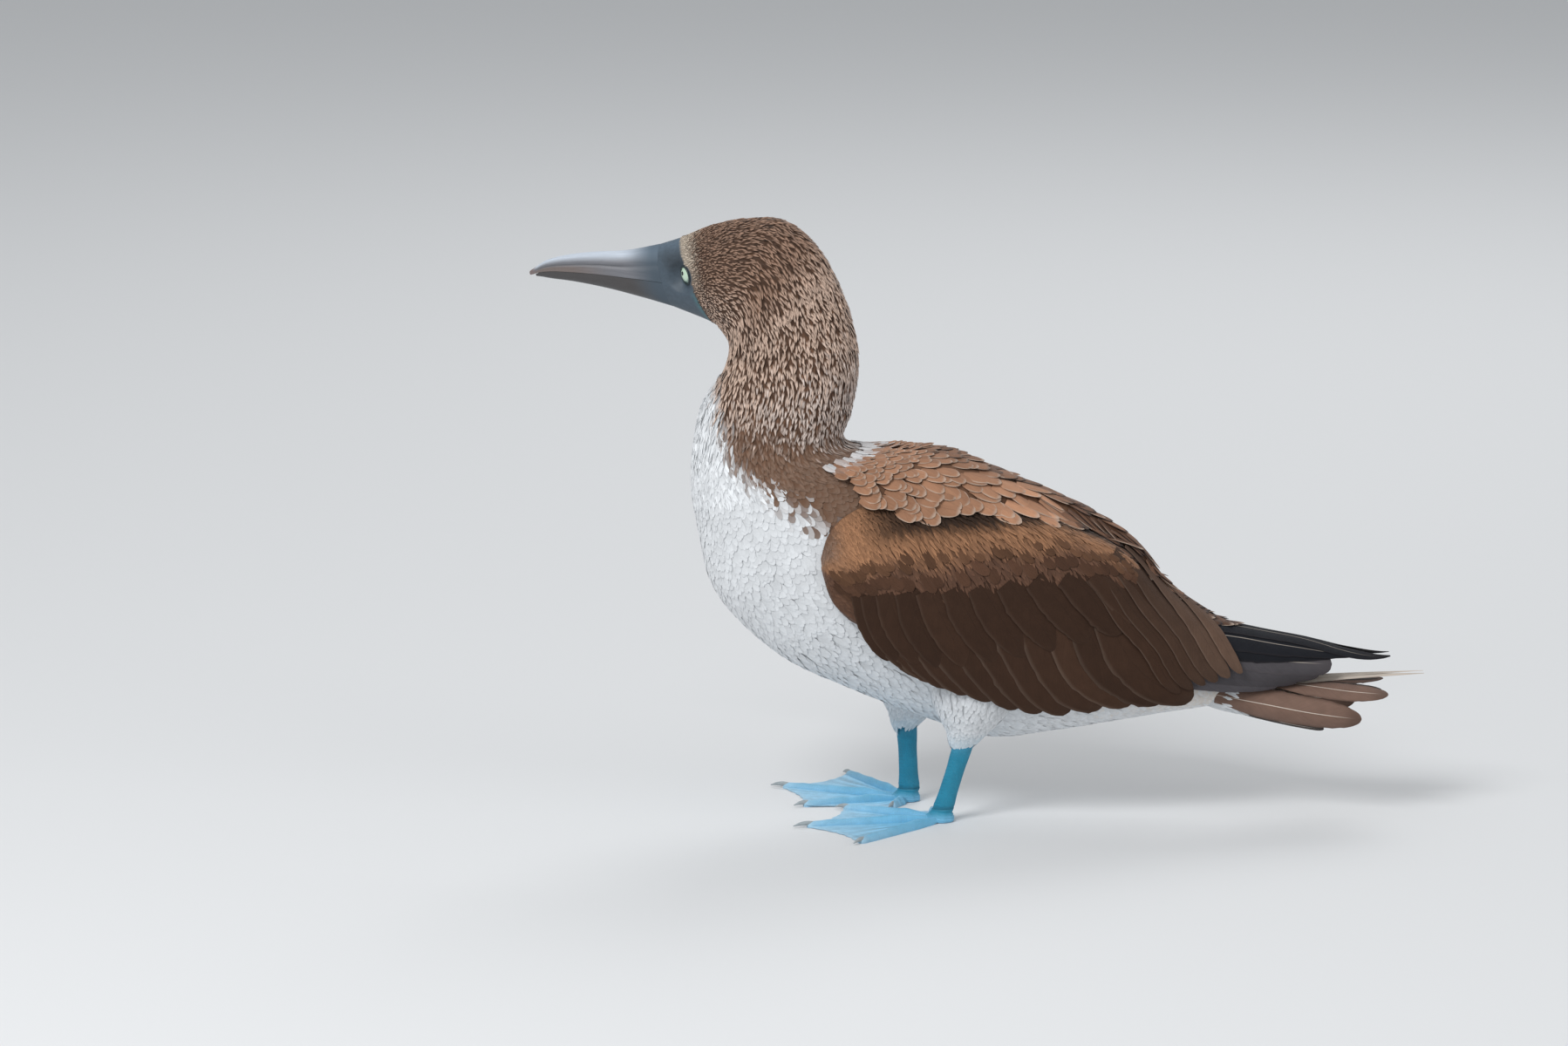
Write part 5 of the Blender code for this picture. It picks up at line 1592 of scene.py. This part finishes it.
class BOOBY_OT_tail(bpy.types.Operator):
    """Lays the fan of tail feathers and the coverts over and under its root"""

    bl_idname = "booby.tail"
    bl_label = "Tail"

    def execute(self, context):
        plumage = arrays(context.scene.booby_plumage)
        draw = np.random.default_rng(plumage.seed + 20)
        fan = Ovals(TAIL_ROWS, TAIL_SKIRT)
        taupe = plumage.tail
        cream = plumage.cream
        white = plumage.white
        mesh = Mesh()
        outline = rounded(34, 0.55, 5)
        near = drawn(fan, TAIL_LINES, outline)
        count = len(TAIL_LINES)
        # The two lower blades are taupe darkened to a fifth: painted shade under the blades above them.
        colour = np.array([taupe, taupe * 1.1, taupe * 0.2, taupe * 0.2])
        width = np.array([21.0, 26.0, 18.0, 24.0])
        level = np.array([-1.0, -1.5, -3.2, -3.2])
        for side in (1, -1):
            path = near * (1.0, side)
            base = colour * draw.uniform(0.92, 1.08, (count, 1))
            ragged = frayed(draw, (count, 34, 11), 0.02)
            vanes(
                mesh, fan, path[:, 0], path[:, -1], width, paired(level, level + 0.3), outline, 11,
                (base, base * 0.35),
                seed=draw.uniform(0, 1, count), ragged=ragged, camber=0.5, tilt=0.5 * side, thick=0.4,
                path=path, shaft_colour=np.broadcast_to(cream * 0.9, (count, 3)),
            )
        a = np.radians([4.5, -4.5])
        tip = paired(reached(fan, CENTRAL_TIP, a), a)
        base = np.broadcast_to(cream, (2, 3))
        edge = np.broadcast_to(blend(cream, taupe, 0.6), (2, 3))
        level = np.array([[-2.2, 1.7], [-1.6, 2.3]])
        vanes(
            mesh, fan, paired(0.25, a), tip, 20.0, level, refined(POINTED, 34), 11, (base, edge),
            seed=(0.3, 0.7), camber=0.5, thick=0.4, shaft_colour=base * 1.1,
        )
        finish = vane_finish("tail_feathers", 0.65, 0.5, 0.0, 0.9, 0.1)
        mesh.build("tail_feathers", finish, "tail_feathers", ("tail",))

        def sunk(u):
            return 6.8 * (u / COVERTS_END) ** 1.3

        coverts = Mesh()
        u, a = grid(np.linspace(0, COVERTS_END, 40), circle(56, -math.pi))
        colour = blend(taupe * 0.7, white * 0.8, smooth(30, 45, from_top(a)))
        values = {"root_colour": colour, "tip_colour": colour, "seed": np.full(a.shape, 0.5)}
        tube(coverts, fan.point(u, a, -1.2 - sunk(u)), **values, OFBake=unwrapped(u, a, COVERTS_END))
        root = scattered(fan, 0.0, 1.4, 66, lambda u, a: np.full(len(u), 2.6), draw)
        u, a = root.T
        count = len(root)
        under = smooth(28, 45, from_top(a))
        length = 8.0 + 5.0 * (1 - smooth(0.7, 1.45, u))
        tip = pointed(fan, root, length * draw.uniform(0.8, 1.2, count), draw, 0.1)
        rise = -0.4 - sunk(np.clip(u + 0.25, 0, 2)) + draw.uniform(0, 0.4, count)
        colours = (blend(taupe, white * 0.82, under), blend(cream * 0.9, white, under))
        tufts(
            coverts, fan, root, tip, draw.uniform(2.4, 3.8, count), paired(-1.4 - sunk(u), rise), TUFT,
            colours, unwrapped(u, a, COVERTS_END), seed=draw.uniform(0, 1, count), camber=0.15,
        )
        coverts.build("tail_coverts", feather_finish("tail_coverts", 0.9, False), "white_feathers")
        return {"FINISHED"}


def bill_finish(bare):
    """Horn of the bill: a painted highlight along the ridge, grey sides, painted shade in the groove, brown
    cutting edge and tip, and bare skin at its root.
    """
    finish = Finish("bill_horn", Roughness=0.4)
    place, height, roof = map(finish.value, ("place", "height", "roof"))
    grain = finish.noise(1.0, 4.0, 0.6, finish.node("CombineXYZ", X=place * 9.0, Y=height * 26.0, Z=roof))
    cloud = finish.noise(140.0, 3.0)
    # Painted highlight: the top of the upper half takes the pale culmen colour.
    side = finish.mix((1.0 - height.step(0.28, 0.62)) * roof, bare.bill, bare.culmen_highlight)
    band = height.step(0.66, 0.84) * roof * place.step(0.2, 0.5)
    side = finish.mix((band * 0.75 + cloud * 0.15).least(1.0), side, bare.horn)
    under = finish.mix(height.step(0.5, 0.95), bare.horn, bare.bill)
    under = finish.mix(0.85, under, (0.04, 0.041, 0.044))
    colour = finish.mix(roof, under, side)
    colour = finish.mix(place.step(0.86, 0.97), colour, bare.tip)
    # Painted shade: a dark line along the groove of the upper half, fading at both ends.
    groove = (1.0 - abs(height - 0.69).step(0.0, 0.06)) * roof
    groove = groove * place.step(0.08, 0.25) * (1.0 - place.step(0.8, 0.95))
    colour = finish.mix(groove * 0.55, colour, (0.03, 0.032, 0.038))
    # Bare skin at the root, lighter along its top: painted highlight carrying on the one along the ridge.
    skin = finish.mix((1.0 - height.step(0.3, 0.75)) * roof, bare.face, bare.face * 1.75)
    colour = finish.mix(1.0 - place.step(0.02, 0.2), colour, skin)
    grown = place.step(0.02, 0.14)
    finish.set("Base Color", finish.scaled(colour, 1.05 + (grain * 0.5 + cloud * 0.2 - 0.36) * grown))
    finish.set("Roughness", 0.5 - grown * 0.2 + grain * 0.2)
    finish.bump((grain + finish.noise(1500.0, 2.0) * 0.25) * grown, 0.35, 0.0004)
    return finish.material


class BOOBY_OT_bill(bpy.types.Operator):
    """Makes the two halves of the bill, with their grooves and cutting edges"""

    bl_idname = "booby.bill"
    bl_label = "Bill"

    def execute(self, context):
        bill = Ovals(BILL_ROWS)
        finish = bill_finish(arrays(context.scene.booby_bare))
        self.half(bill, "bill_upper", "upper_bill", finish, True)
        self.half(bill, "bill_lower", "lower_bill", finish, False)
        return {"FINISHED"}

    def half(self, bill, name, node, finish, roof):
        """One half of the bill, the upper one where roof is true."""
        away = 1 if roof else -1
        full = len(BILL_ROWS) - 1.0
        last = full if roof else LOWER_BILL_END
        stops = np.linspace(-0.04, last, 170)
        level = catmull([[value] for value in MOUTH_LEVELS], stops)
        edge = np.arccos(np.clip(level, -0.98, 0.98))
        share = np.linspace(0, 1, 49)
        if roof:
            a = -edge + 2 * edge * share
            height = np.abs(2 * share - 1) + 0 * a
        else:
            a = edge + (TURN - 2 * edge) * share
            height = 1 - np.abs(2 * share - 1) + 0 * a
        u = np.broadcast_to(stops[:, None], a.shape)
        wide = catmull(BILL_ROWS, stops)[:, 4:5]
        wrapped = np.abs(a)
        groove = bell(wrapped - GROOVE_ANGLE, 0.09) * GROOVE_DEPTH * roof
        lip = bell(edge - wrapped, 0.07) * 0.25 * roof
        saw = 0.08 * np.sin(stops[:, None] * 75) * bell(edge - wrapped, 0.05) * roof
        points = bill.point(u, a, (lip + saw - groove) * np.minimum(1.0, wide / 6))
        points[..., 2] += MOUTH_GAP * away

        # The hollow side between the cutting edges, then the rounded end
        across = np.linspace(0, 1, 11)[1:-1]
        inner = points[:, -1:] + (points[:, :1] - points[:, -1:]) * across[None, :, None]
        inner[..., 2] += np.sin(np.pi * across) * np.minimum(wide / 8, 1.0) * (BILL_HOLLOW * away)
        rings = ended(np.concatenate([points, inner], axis=1), 1.0 if roof else 0.8)
        size = rings.shape[:2]
        more = size[0] - len(stops)
        place = np.concatenate([stops / full, np.full(more, last / full)])
        tall = np.concatenate([height, np.full((len(stops), len(across)), 1.0 if roof else 0.0)], axis=1)
        tall = np.concatenate([tall, np.repeat(tall[-1:], more, axis=0)])
        mesh = Mesh()
        place = np.broadcast_to(place[:, None], size)
        tube(mesh, rings, place=place, height=tall, roof=np.full(size, float(roof)))
        mesh.build(name, finish, "bill_horn", (node,), 75.0)


class BOOBY_OT_eyes(bpy.types.Operator):
    """Makes the eyeballs and the dark bare rims round them"""

    bl_idname = "booby.eyes"
    bl_label = "Eyes"

    def execute(self, context):
        bare = arrays(context.scene.booby_bare)
        glass = Finish("eye_glass", Roughness=0.06, Coat_Weight=1.0, Coat_Roughness=0.02)
        turn, polar = map(glass.value, ("turn", "polar"))
        fibres = glass.noise(1.0, 3.0, 0.6, glass.node("CombineXYZ", X=turn * 60.0, Y=polar * 5.0))
        iris = glass.scaled(bare.iris, 0.75 + fibres * 0.5)
        iris = glass.mix(polar.step(0.55, 0.75) * 0.8, iris, (0.05, 0.12, 0.10))
        iris = glass.mix(1.0 - polar.step(0.15, 0.18), iris, (0.004, 0.004, 0.005))
        glass.set("Base Color", iris)
        rim = Finish("eye_rim", Roughness=0.45)
        folds = rim.noise(900.0, 3.0)
        rim.set("Base Color", rim.mix(folds, (0.008, 0.014, 0.015), (0.025, 0.045, 0.048)))
        rim.bump(folds, 0.4, 0.0004)
        for side, name in ((-1, "left"), (1, "right")):
            centre, axis = eye_axis(side)
            up = unit(np.array([0.0, 0.0, 1.0]) - axis * axis[2])
            ahead = np.cross(axis, up)
            polar, around = grid(np.linspace(0.004, math.pi - 0.004, 90), circle(EYE_SIDES))
            out = np.cos(around)[..., None] * up + np.sin(around)[..., None] * ahead
            pole = (EYE_POLE + 0.25 * bell(polar, 0.5))[..., None]
            rings = centre + pole * np.cos(polar)[..., None] * axis
            rings = rings + EYE_RADIUS * np.sin(polar)[..., None] * out
            gaze = unit(axis + 0.35 * up)
            apart = np.arccos(np.clip(np.sum(unit(rings - centre) * gaze, -1), -1, 1))
            ball = Mesh()
            tube(ball, rings, polar=apart / (math.pi / 2), turn=np.abs(np.sin(around * 1.5)))
            ball.build(f"eyeball_{name}", glass.material, "eye_glass", (f"eye_{name}",), 180.0)
            around, roll = grid(circle(EYE_SIDES), circle(RIM_SIDES))
            out = np.cos(around)[..., None] * up * 1.04 + np.sin(around)[..., None] * ahead * 0.93
            start = np.random.default_rng(RIM_SEED).uniform(0, 6)
            folds = 1 + 0.04 * np.sin(around * 23 + start) + 0.04 * np.sin(around * 41 + roll * 2)
            wide = (LID_RADIUS - 0.75 + 0.75 * np.cos(roll) * folds)[..., None]
            tall = (LID_HEIGHT + 0.15 + 0.7 * np.sin(roll) * folds)[..., None]
            lid = Mesh()
            faces = grid_quads(EYE_SIDES, RIM_SIDES, closed=True, looped=True)
            lid.add(centre + out * wide + axis * tall, faces)
            lid.build(f"eye_rim_{name}", rim.material, "foot_skin", (), 180.0)
        return {"FINISHED"}


def scale_finish(name, roughness, cell, depth):
    """Scaly skin of legs and feet, coloured by the mesh, with a net of fine scales."""
    finish = Finish(name, Roughness=roughness)
    net = finish.node("TexVoronoi", {"feature": "DISTANCE_TO_EDGE"}, Vector=finish.place(), Scale=cell)
    line = net.step(0.02, 0.2)
    cloud = finish.noise(120.0, 3.0)
    fine = finish.noise(700.0, 3.0)
    colour = finish.scaled(finish.colour("root_colour"), 0.72 + line * 0.1 + cloud * 0.36)
    finish.set("Base Color", colour)
    finish.set("Roughness", roughness - 0.1 + fine * 0.25)
    finish.bump(line + fine * 0.5, depth, 0.0005)
    return finish.material


class BOOBY_OT_legs(bpy.types.Operator):
    """Makes the bare legs with their rows of scutes"""

    bl_idname = "booby.legs"
    bl_label = "Legs"

    def execute(self, context):
        bare = arrays(context.scene.booby_bare)
        finish = scale_finish("leg_skin", 0.5, 950.0, 0.5)
        for side, name, ends, _ in SIDES:
            t, turn = grid(np.linspace(0, 1.06, 150), circle(64))
            stations = np.minimum(t, 1.0) * (len(LEG_RINGS) - 1)
            depth, width = np.moveaxis(catmull(LEG_RINGS, stations), -1, 0)
            front = smooth(0.25, 0.8, -np.cos(turn))
            height = (LEG_TOP - ANKLE_TOP) * t
            saw = (height / 2.4 + 0.12 * np.sin(turn * 2)) % 1.0
            plate = np.sin(np.pi * np.clip(saw * 1.12, 0, 1)) ** 0.5
            grow = 1 + (0.02 * plate - 0.012) * front - 0.04 * bell(t - 0.02, 0.03)
            ridge = 1 + 0.06 * np.cos(turn) ** 6
            x = ends[0] + (ends[1] - ends[0]) * t + depth * np.cos(turn) * grow * ridge
            y = side * LEG_SPREAD + width * np.sin(turn) * grow
            rings = np.stack([x, y, ANKLE_TOP + 0.1 + height], -1)
            # Painted shade: the front of the leg darkens in the dips between its scutes.
            dark = 1 - 0.2 * (1 - smooth(0.0, 0.35, plate)) * front
            colour = blend(bare.tarsus, bare.web * 0.7, smooth(0.75, 1.0, t) * 0.35)
            # Painted shade in the crease at the foot of the leg, where it meets the ankle.
            crease = 1 - 0.35 * bell(t - 0.01, 0.03)
            mesh = Mesh()
            tube(mesh, rings, root_colour=colour * (dark * crease)[..., None])
            mesh.build(f"leg_{name}_skin", finish, "leg_skin", (f"leg_{name}",), 180.0)
        return {"FINISHED"}


class BOOBY_OT_feet(bpy.types.Operator):
    """Makes the webbed feet with their scaly toes, and the claws"""

    bl_idname = "booby.feet"
    bl_label = "Feet and claws"

    def execute(self, context):
        bare = arrays(context.scene.booby_bare)
        finish = scale_finish("foot_skin", 0.45, 1100.0, 0.3)
        horn = Finish("claw_horn", Roughness=0.35)
        streak = horn.noise(500.0, 3.0)
        horn.set("Base Color", horn.mix(streak, (0.22, 0.26, 0.28), (0.42, 0.47, 0.49)))
        horn.bump(streak, 0.3, 0.0003)
        for side, name, ends, turn in SIDES:
            foot = Mesh()
            self.sheet(foot, bare)
            self.ankle(foot, bare)
            claws = Mesh()
            for angle, length, reach in TOES:
                self.claw(claws, angle, length, reach)
            for mesh, piece, material, slot, nodes in (
                (foot, "foot_skin_", finish, "foot_skin", (f"foot_{name}",)),
                (claws, "claws_", horn.material, "foot_skin", ()),
            ):
                self.set_down(mesh, turn)
                mesh = mesh.mirrored() if side > 0 else mesh
                for points, _, _, _ in mesh.parts:
                    points += (ends[0], side * LEG_SPREAD, 0.0)
                mesh.build(piece + name, material, slot, nodes, 50.0)
        return {"FINISHED"}

    def set_down(self, mesh, turn):
        """Turns a foot's parts about the leg."""
        for points, _, _, _ in mesh.parts:
            x = points[:, 0] * math.cos(turn) - points[:, 1] * math.sin(turn)
            points[:, 1] = points[:, 0] * math.sin(turn) + points[:, 1] * math.cos(turn)
            points[:, 0] = x

    def toe(self, angle, length, f, offset):
        """Places beside a toe's middle line."""
        out = math.radians(angle)
        run = TOE_START + (length - TOE_START) * f
        x = -math.cos(out) * run + math.sin(out) * offset
        return paired(x, -math.sin(out) * run - math.cos(out) * offset)

    def sheet(self, mesh, bare):
        """The toes and the webs between them, as columns of places with a rise, a floor and a colour."""
        f = np.linspace(0, 1, 110)
        web = bare.web
        teal = bare.tarsus
        pale = bare.web_edge
        columns = []
        for k, (angle, length, _) in enumerate(TOES):
            radius = at(TOE_RADII, f)
            knuckle = sum(bell(f - spot, 0.05) for spot in (0.3, 0.58, 0.82))
            end = np.sqrt(np.clip(1 - ((f - 0.95) / 0.06).clip(0, 0.98) ** 2, 0.05, 1))
            scute = 0.1 * np.abs(np.sin(f * length * math.pi / 2.2)) ** 0.6
            toe = []
            for share in np.cos(np.linspace(0, math.pi, 15)):
                spot = self.toe(angle, length, f, share * radius * (1 + 0.07 * knuckle) * end)
                arch = TOE_ARCH * radius * (1 + 0.08 * knuckle) + scute * (abs(share) < 0.7) - 0.2
                rise = WEB_THICK + (arch * end - WEB_THICK) * (1 - share**2) ** 0.7
                floor = np.where(abs(share) < 0.98, 0.0, WEB_CLEARANCE) + np.interp(f, [0, 0.06], [1.0, 0.0])
                middle = (1 - abs(share)) ** 0.7
                colour = blend(web, pale, smooth(0.2, 1.0, f) * 0.45)
                colour = blend(colour, blend(teal, web, 0.5), middle * 0.4 * np.sin(f * 9 + k) ** 2)
                colour = blend(colour, pale, smooth(0.88, 1.0, f) * 0.5)
                # The toe is lighter on its raised scutes and darker between them: painted shade.
                toe.append((spot, rise, floor, colour * (0.9 + 0.5 * scute)[:, None]))
            if columns:
                columns += self.web(columns[-1], toe[0], f, bare, k)
            columns += toe
        top = np.stack([np.concatenate([spot, rise[:, None]], axis=1) for spot, rise, _, _ in columns])
        low = np.stack([np.concatenate([spot, floor[:, None]], axis=1) for spot, _, floor, _ in columns])
        shell(mesh, top, low, root_colour=np.stack([colour for _, _, _, colour in columns]))

    def web(self, before, after, f, bare, k):
        """Columns over the web between two toes, with its wrinkles and drawn-in rim."""
        web = bare.web
        pale = bare.web_edge
        columns = []
        for t in np.linspace(0, 1, 26)[1:-1]:
            pull = 1 - 0.7 * WEB_DIP * 4 * t * (1 - t) * f + 0.006 * np.sin(t * 37 + k) * smooth(0.85, 1, f)
            spot = (before[0] + (after[0] - before[0]) * t) * pull[:, None]
            wrinkle = 0.26 * np.sin(t * 23 + k + 1.5 * np.sin(f * 4 + k)) * smooth(0.1, 0.5, f)
            wrinkle = wrinkle * (0.6 + 0.4 * np.sin(f * 8 + 9 * t))
            wrinkle = wrinkle + 0.05 * np.sin(f * 70 + 9 * math.sin(7 * t)) * smooth(0.2, 0.5, f)
            rise = WEB_THICK - 0.1 + wrinkle - 0.45 * smooth(0.96, 1.0, f)
            floor = np.full(len(f), WEB_CLEARANCE) + np.interp(f, [0, 0.06], [0.65, 0.0])
            # Painted shade of the wrinkles, lighter on their crests and darker in their troughs, over broad
            # lighter and darker bands across the web.
            shade = 0.88 + 0.2 * math.sin(t * 13 + k) ** 2 + wrinkle * 0.7
            bright = blend(web, pale, smooth(0.15, 0.95, f) * 0.5)
            colour = blend(bright * shade[:, None], pale, smooth(0.93, 1.0, f) * 0.55)
            columns.append((spot, rise, floor, colour))
        return columns

    def ankle(self, mesh, bare):
        """The pad where the toes meet under the leg."""
        u, turn = grid(np.linspace(0, len(ANKLE_RINGS) - 1, 40), circle(64))
        height, depth, width, x = np.moveaxis(catmull(ANKLE_RINGS, u), -1, 0)
        fold = 1 + 0.02 * np.sin(u * 9 + np.cos(turn) * 2) + 0.015 * np.sin(turn * 9)
        fold = fold * (1 - 0.16 * (1 - smooth(3.2, 4.0, u)) - 0.06 * (1 - smooth(0.0, 0.7, u)))
        x = x + depth * np.cos(turn) * fold
        rings = np.stack([x, width * np.sin(turn) * fold, np.maximum(height, 0.0)], -1)
        colour = blend(bare.web * 0.9, bare.tarsus, smooth(1.4, 3.6, u))
        # Painted shade: the ankle pad darkens at its top, where it meets the leg.
        dark = 1 - 0.3 * smooth(3.6, 4.0, u)
        tube(mesh, rings, root_colour=colour * dark[..., None])

    def claw(self, mesh, angle, length, reach):
        t, turn = grid(np.linspace(0, 1, 26), circle(20))
        stations = np.interp(t, [row[0] for row in CLAW_RINGS], range(len(CLAW_RINGS)))
        _, height, radius = np.moveaxis(catmull(CLAW_RINGS, stations), -1, 0)
        spot = self.toe(angle, length + CLAW_INSIDE, np.ones(t.shape), np.sin(turn) * radius * 0.85)
        out = math.radians(angle)
        run = (reach + CLAW_INSIDE) * t - 2 * CLAW_INSIDE
        x = spot[..., 0] - math.cos(out) * run
        y = spot[..., 1] - math.sin(out) * run
        z = np.maximum(height + 0.4 + np.cos(turn) * radius * 1.1, 0.05)
        tube(mesh, ended(np.stack([x, y, z], -1), 0.4))


class BOOBY_OT_stage(bpy.types.Operator):
    """Adds the floor, the soft studio lights and the camera"""

    bl_idname = "booby.stage"
    bl_label = "Stage"

    def execute(self, context):
        stage = context.scene.booby_stage
        scene = context.scene

        width = PHOTO_SIZE[0] * PHOTO_SCALE * MM
        distance = width * stage.lens / SENSOR
        up = Vector((0.0, math.sin(stage.elevation), math.cos(stage.elevation)))
        look = Vector((0.0, math.cos(stage.elevation), -math.sin(stage.elevation)))
        aim = Vector((-CENTRE_X, -CENTRE_Y, 0.0)) * MM
        aim.x += (PHOTO_SIZE[0] / 2 - PHOTO_ORIGIN[0]) * PHOTO_SCALE * MM
        aim += up * (PHOTO_ORIGIN[1] - PHOTO_SIZE[1] / 2) * PHOTO_SCALE * MM
        data = bpy.data.cameras.new("camera")
        data.lens = stage.lens
        data.sensor_width = SENSOR
        data.clip_end = VIEW_END
        camera = bpy.data.objects.new("camera", data)
        camera.location = aim - look * distance
        camera.rotation_euler = look.to_track_quat("-Z", "Y").to_euler()
        scene.collection.objects.link(camera)
        scene.camera = camera

        bpy.ops.mesh.primitive_circle_add(vertices=96, radius=FLOOR_RADIUS, fill_type="NGON")
        floor = context.object
        floor.name = "floor"
        floor.data.materials.append(Finish("floor", Base_Color=tuple(stage.floor), Roughness=0.9).material)

        studio = bpy.data.worlds.new("studio")
        studio.use_nodes = True
        background = studio.node_tree.nodes["Background"]
        background.inputs["Color"].default_value = (*stage.backdrop, 1.0)
        background.inputs["Strength"].default_value = BACKDROP_STRENGTH
        scene.world = studio
        scene.view_settings.view_transform = "Standard"

        for name, place, size, power in LAMPS:
            lamp = bpy.data.lights.new(name, "AREA")
            lamp.size = size
            lamp.energy = power
            holder = bpy.data.objects.new(name, lamp)
            holder.location = place
            toward = Vector(LAMP_AIM) - Vector(place)
            holder.rotation_euler = toward.to_track_quat("-Z", "Y").to_euler()
            scene.collection.objects.link(holder)
        return {"FINISHED"}


STEPS = (
    BOOBY_OT_skin,
    BOOBY_OT_head_coat,
    BOOBY_OT_body_coat,
    BOOBY_OT_mantle,
    BOOBY_OT_wings,
    BOOBY_OT_tail,
    BOOBY_OT_bill,
    BOOBY_OT_eyes,
    BOOBY_OT_legs,
    BOOBY_OT_feet,
    BOOBY_OT_stage,
)


class BOOBY_PT_panel(bpy.types.Panel):
    """Lists the steps that make the bird"""

    bl_idname = "BOOBY_PT_panel"
    bl_label = "Booby"
    bl_space_type = "VIEW_3D"
    bl_region_type = "UI"
    bl_category = "Booby"

    def draw(self, context):
        for step in STEPS:
            self.layout.operator(step.bl_idname)
        for name, _ in GROUPS:
            group = getattr(context.scene, name)
            box = self.layout.box()
            for setting in group.bl_rna.properties.keys():
                if setting not in INBUILT:
                    box.prop(group, setting)


GROUPS = (("booby_plumage", BoobyPlumage), ("booby_bare", BoobyBare), ("booby_stage", BoobyStage))


def register():
    for name, group in GROUPS:
        bpy.utils.register_class(group)
        setattr(bpy.types.Scene, name, PointerProperty(type=group))
    for one in (*STEPS, BOOBY_PT_panel):
        bpy.utils.register_class(one)


def unregister():
    for one in reversed((*STEPS, BOOBY_PT_panel)):
        bpy.utils.unregister_class(one)
    for name, group in reversed(GROUPS):
        delattr(bpy.types.Scene, name)
        bpy.utils.unregister_class(group)


def main():
    register()
    bpy.ops.booby.skin()
    bpy.ops.booby.head_coat()
    bpy.ops.booby.body_coat()
    bpy.ops.booby.mantle()
    bpy.ops.booby.wings()
    bpy.ops.booby.tail()
    bpy.ops.booby.bill()
    bpy.ops.booby.eyes()
    bpy.ops.booby.legs()
    bpy.ops.booby.feet()
    bpy.ops.booby.stage()


if __name__ == "__main__":
    main()
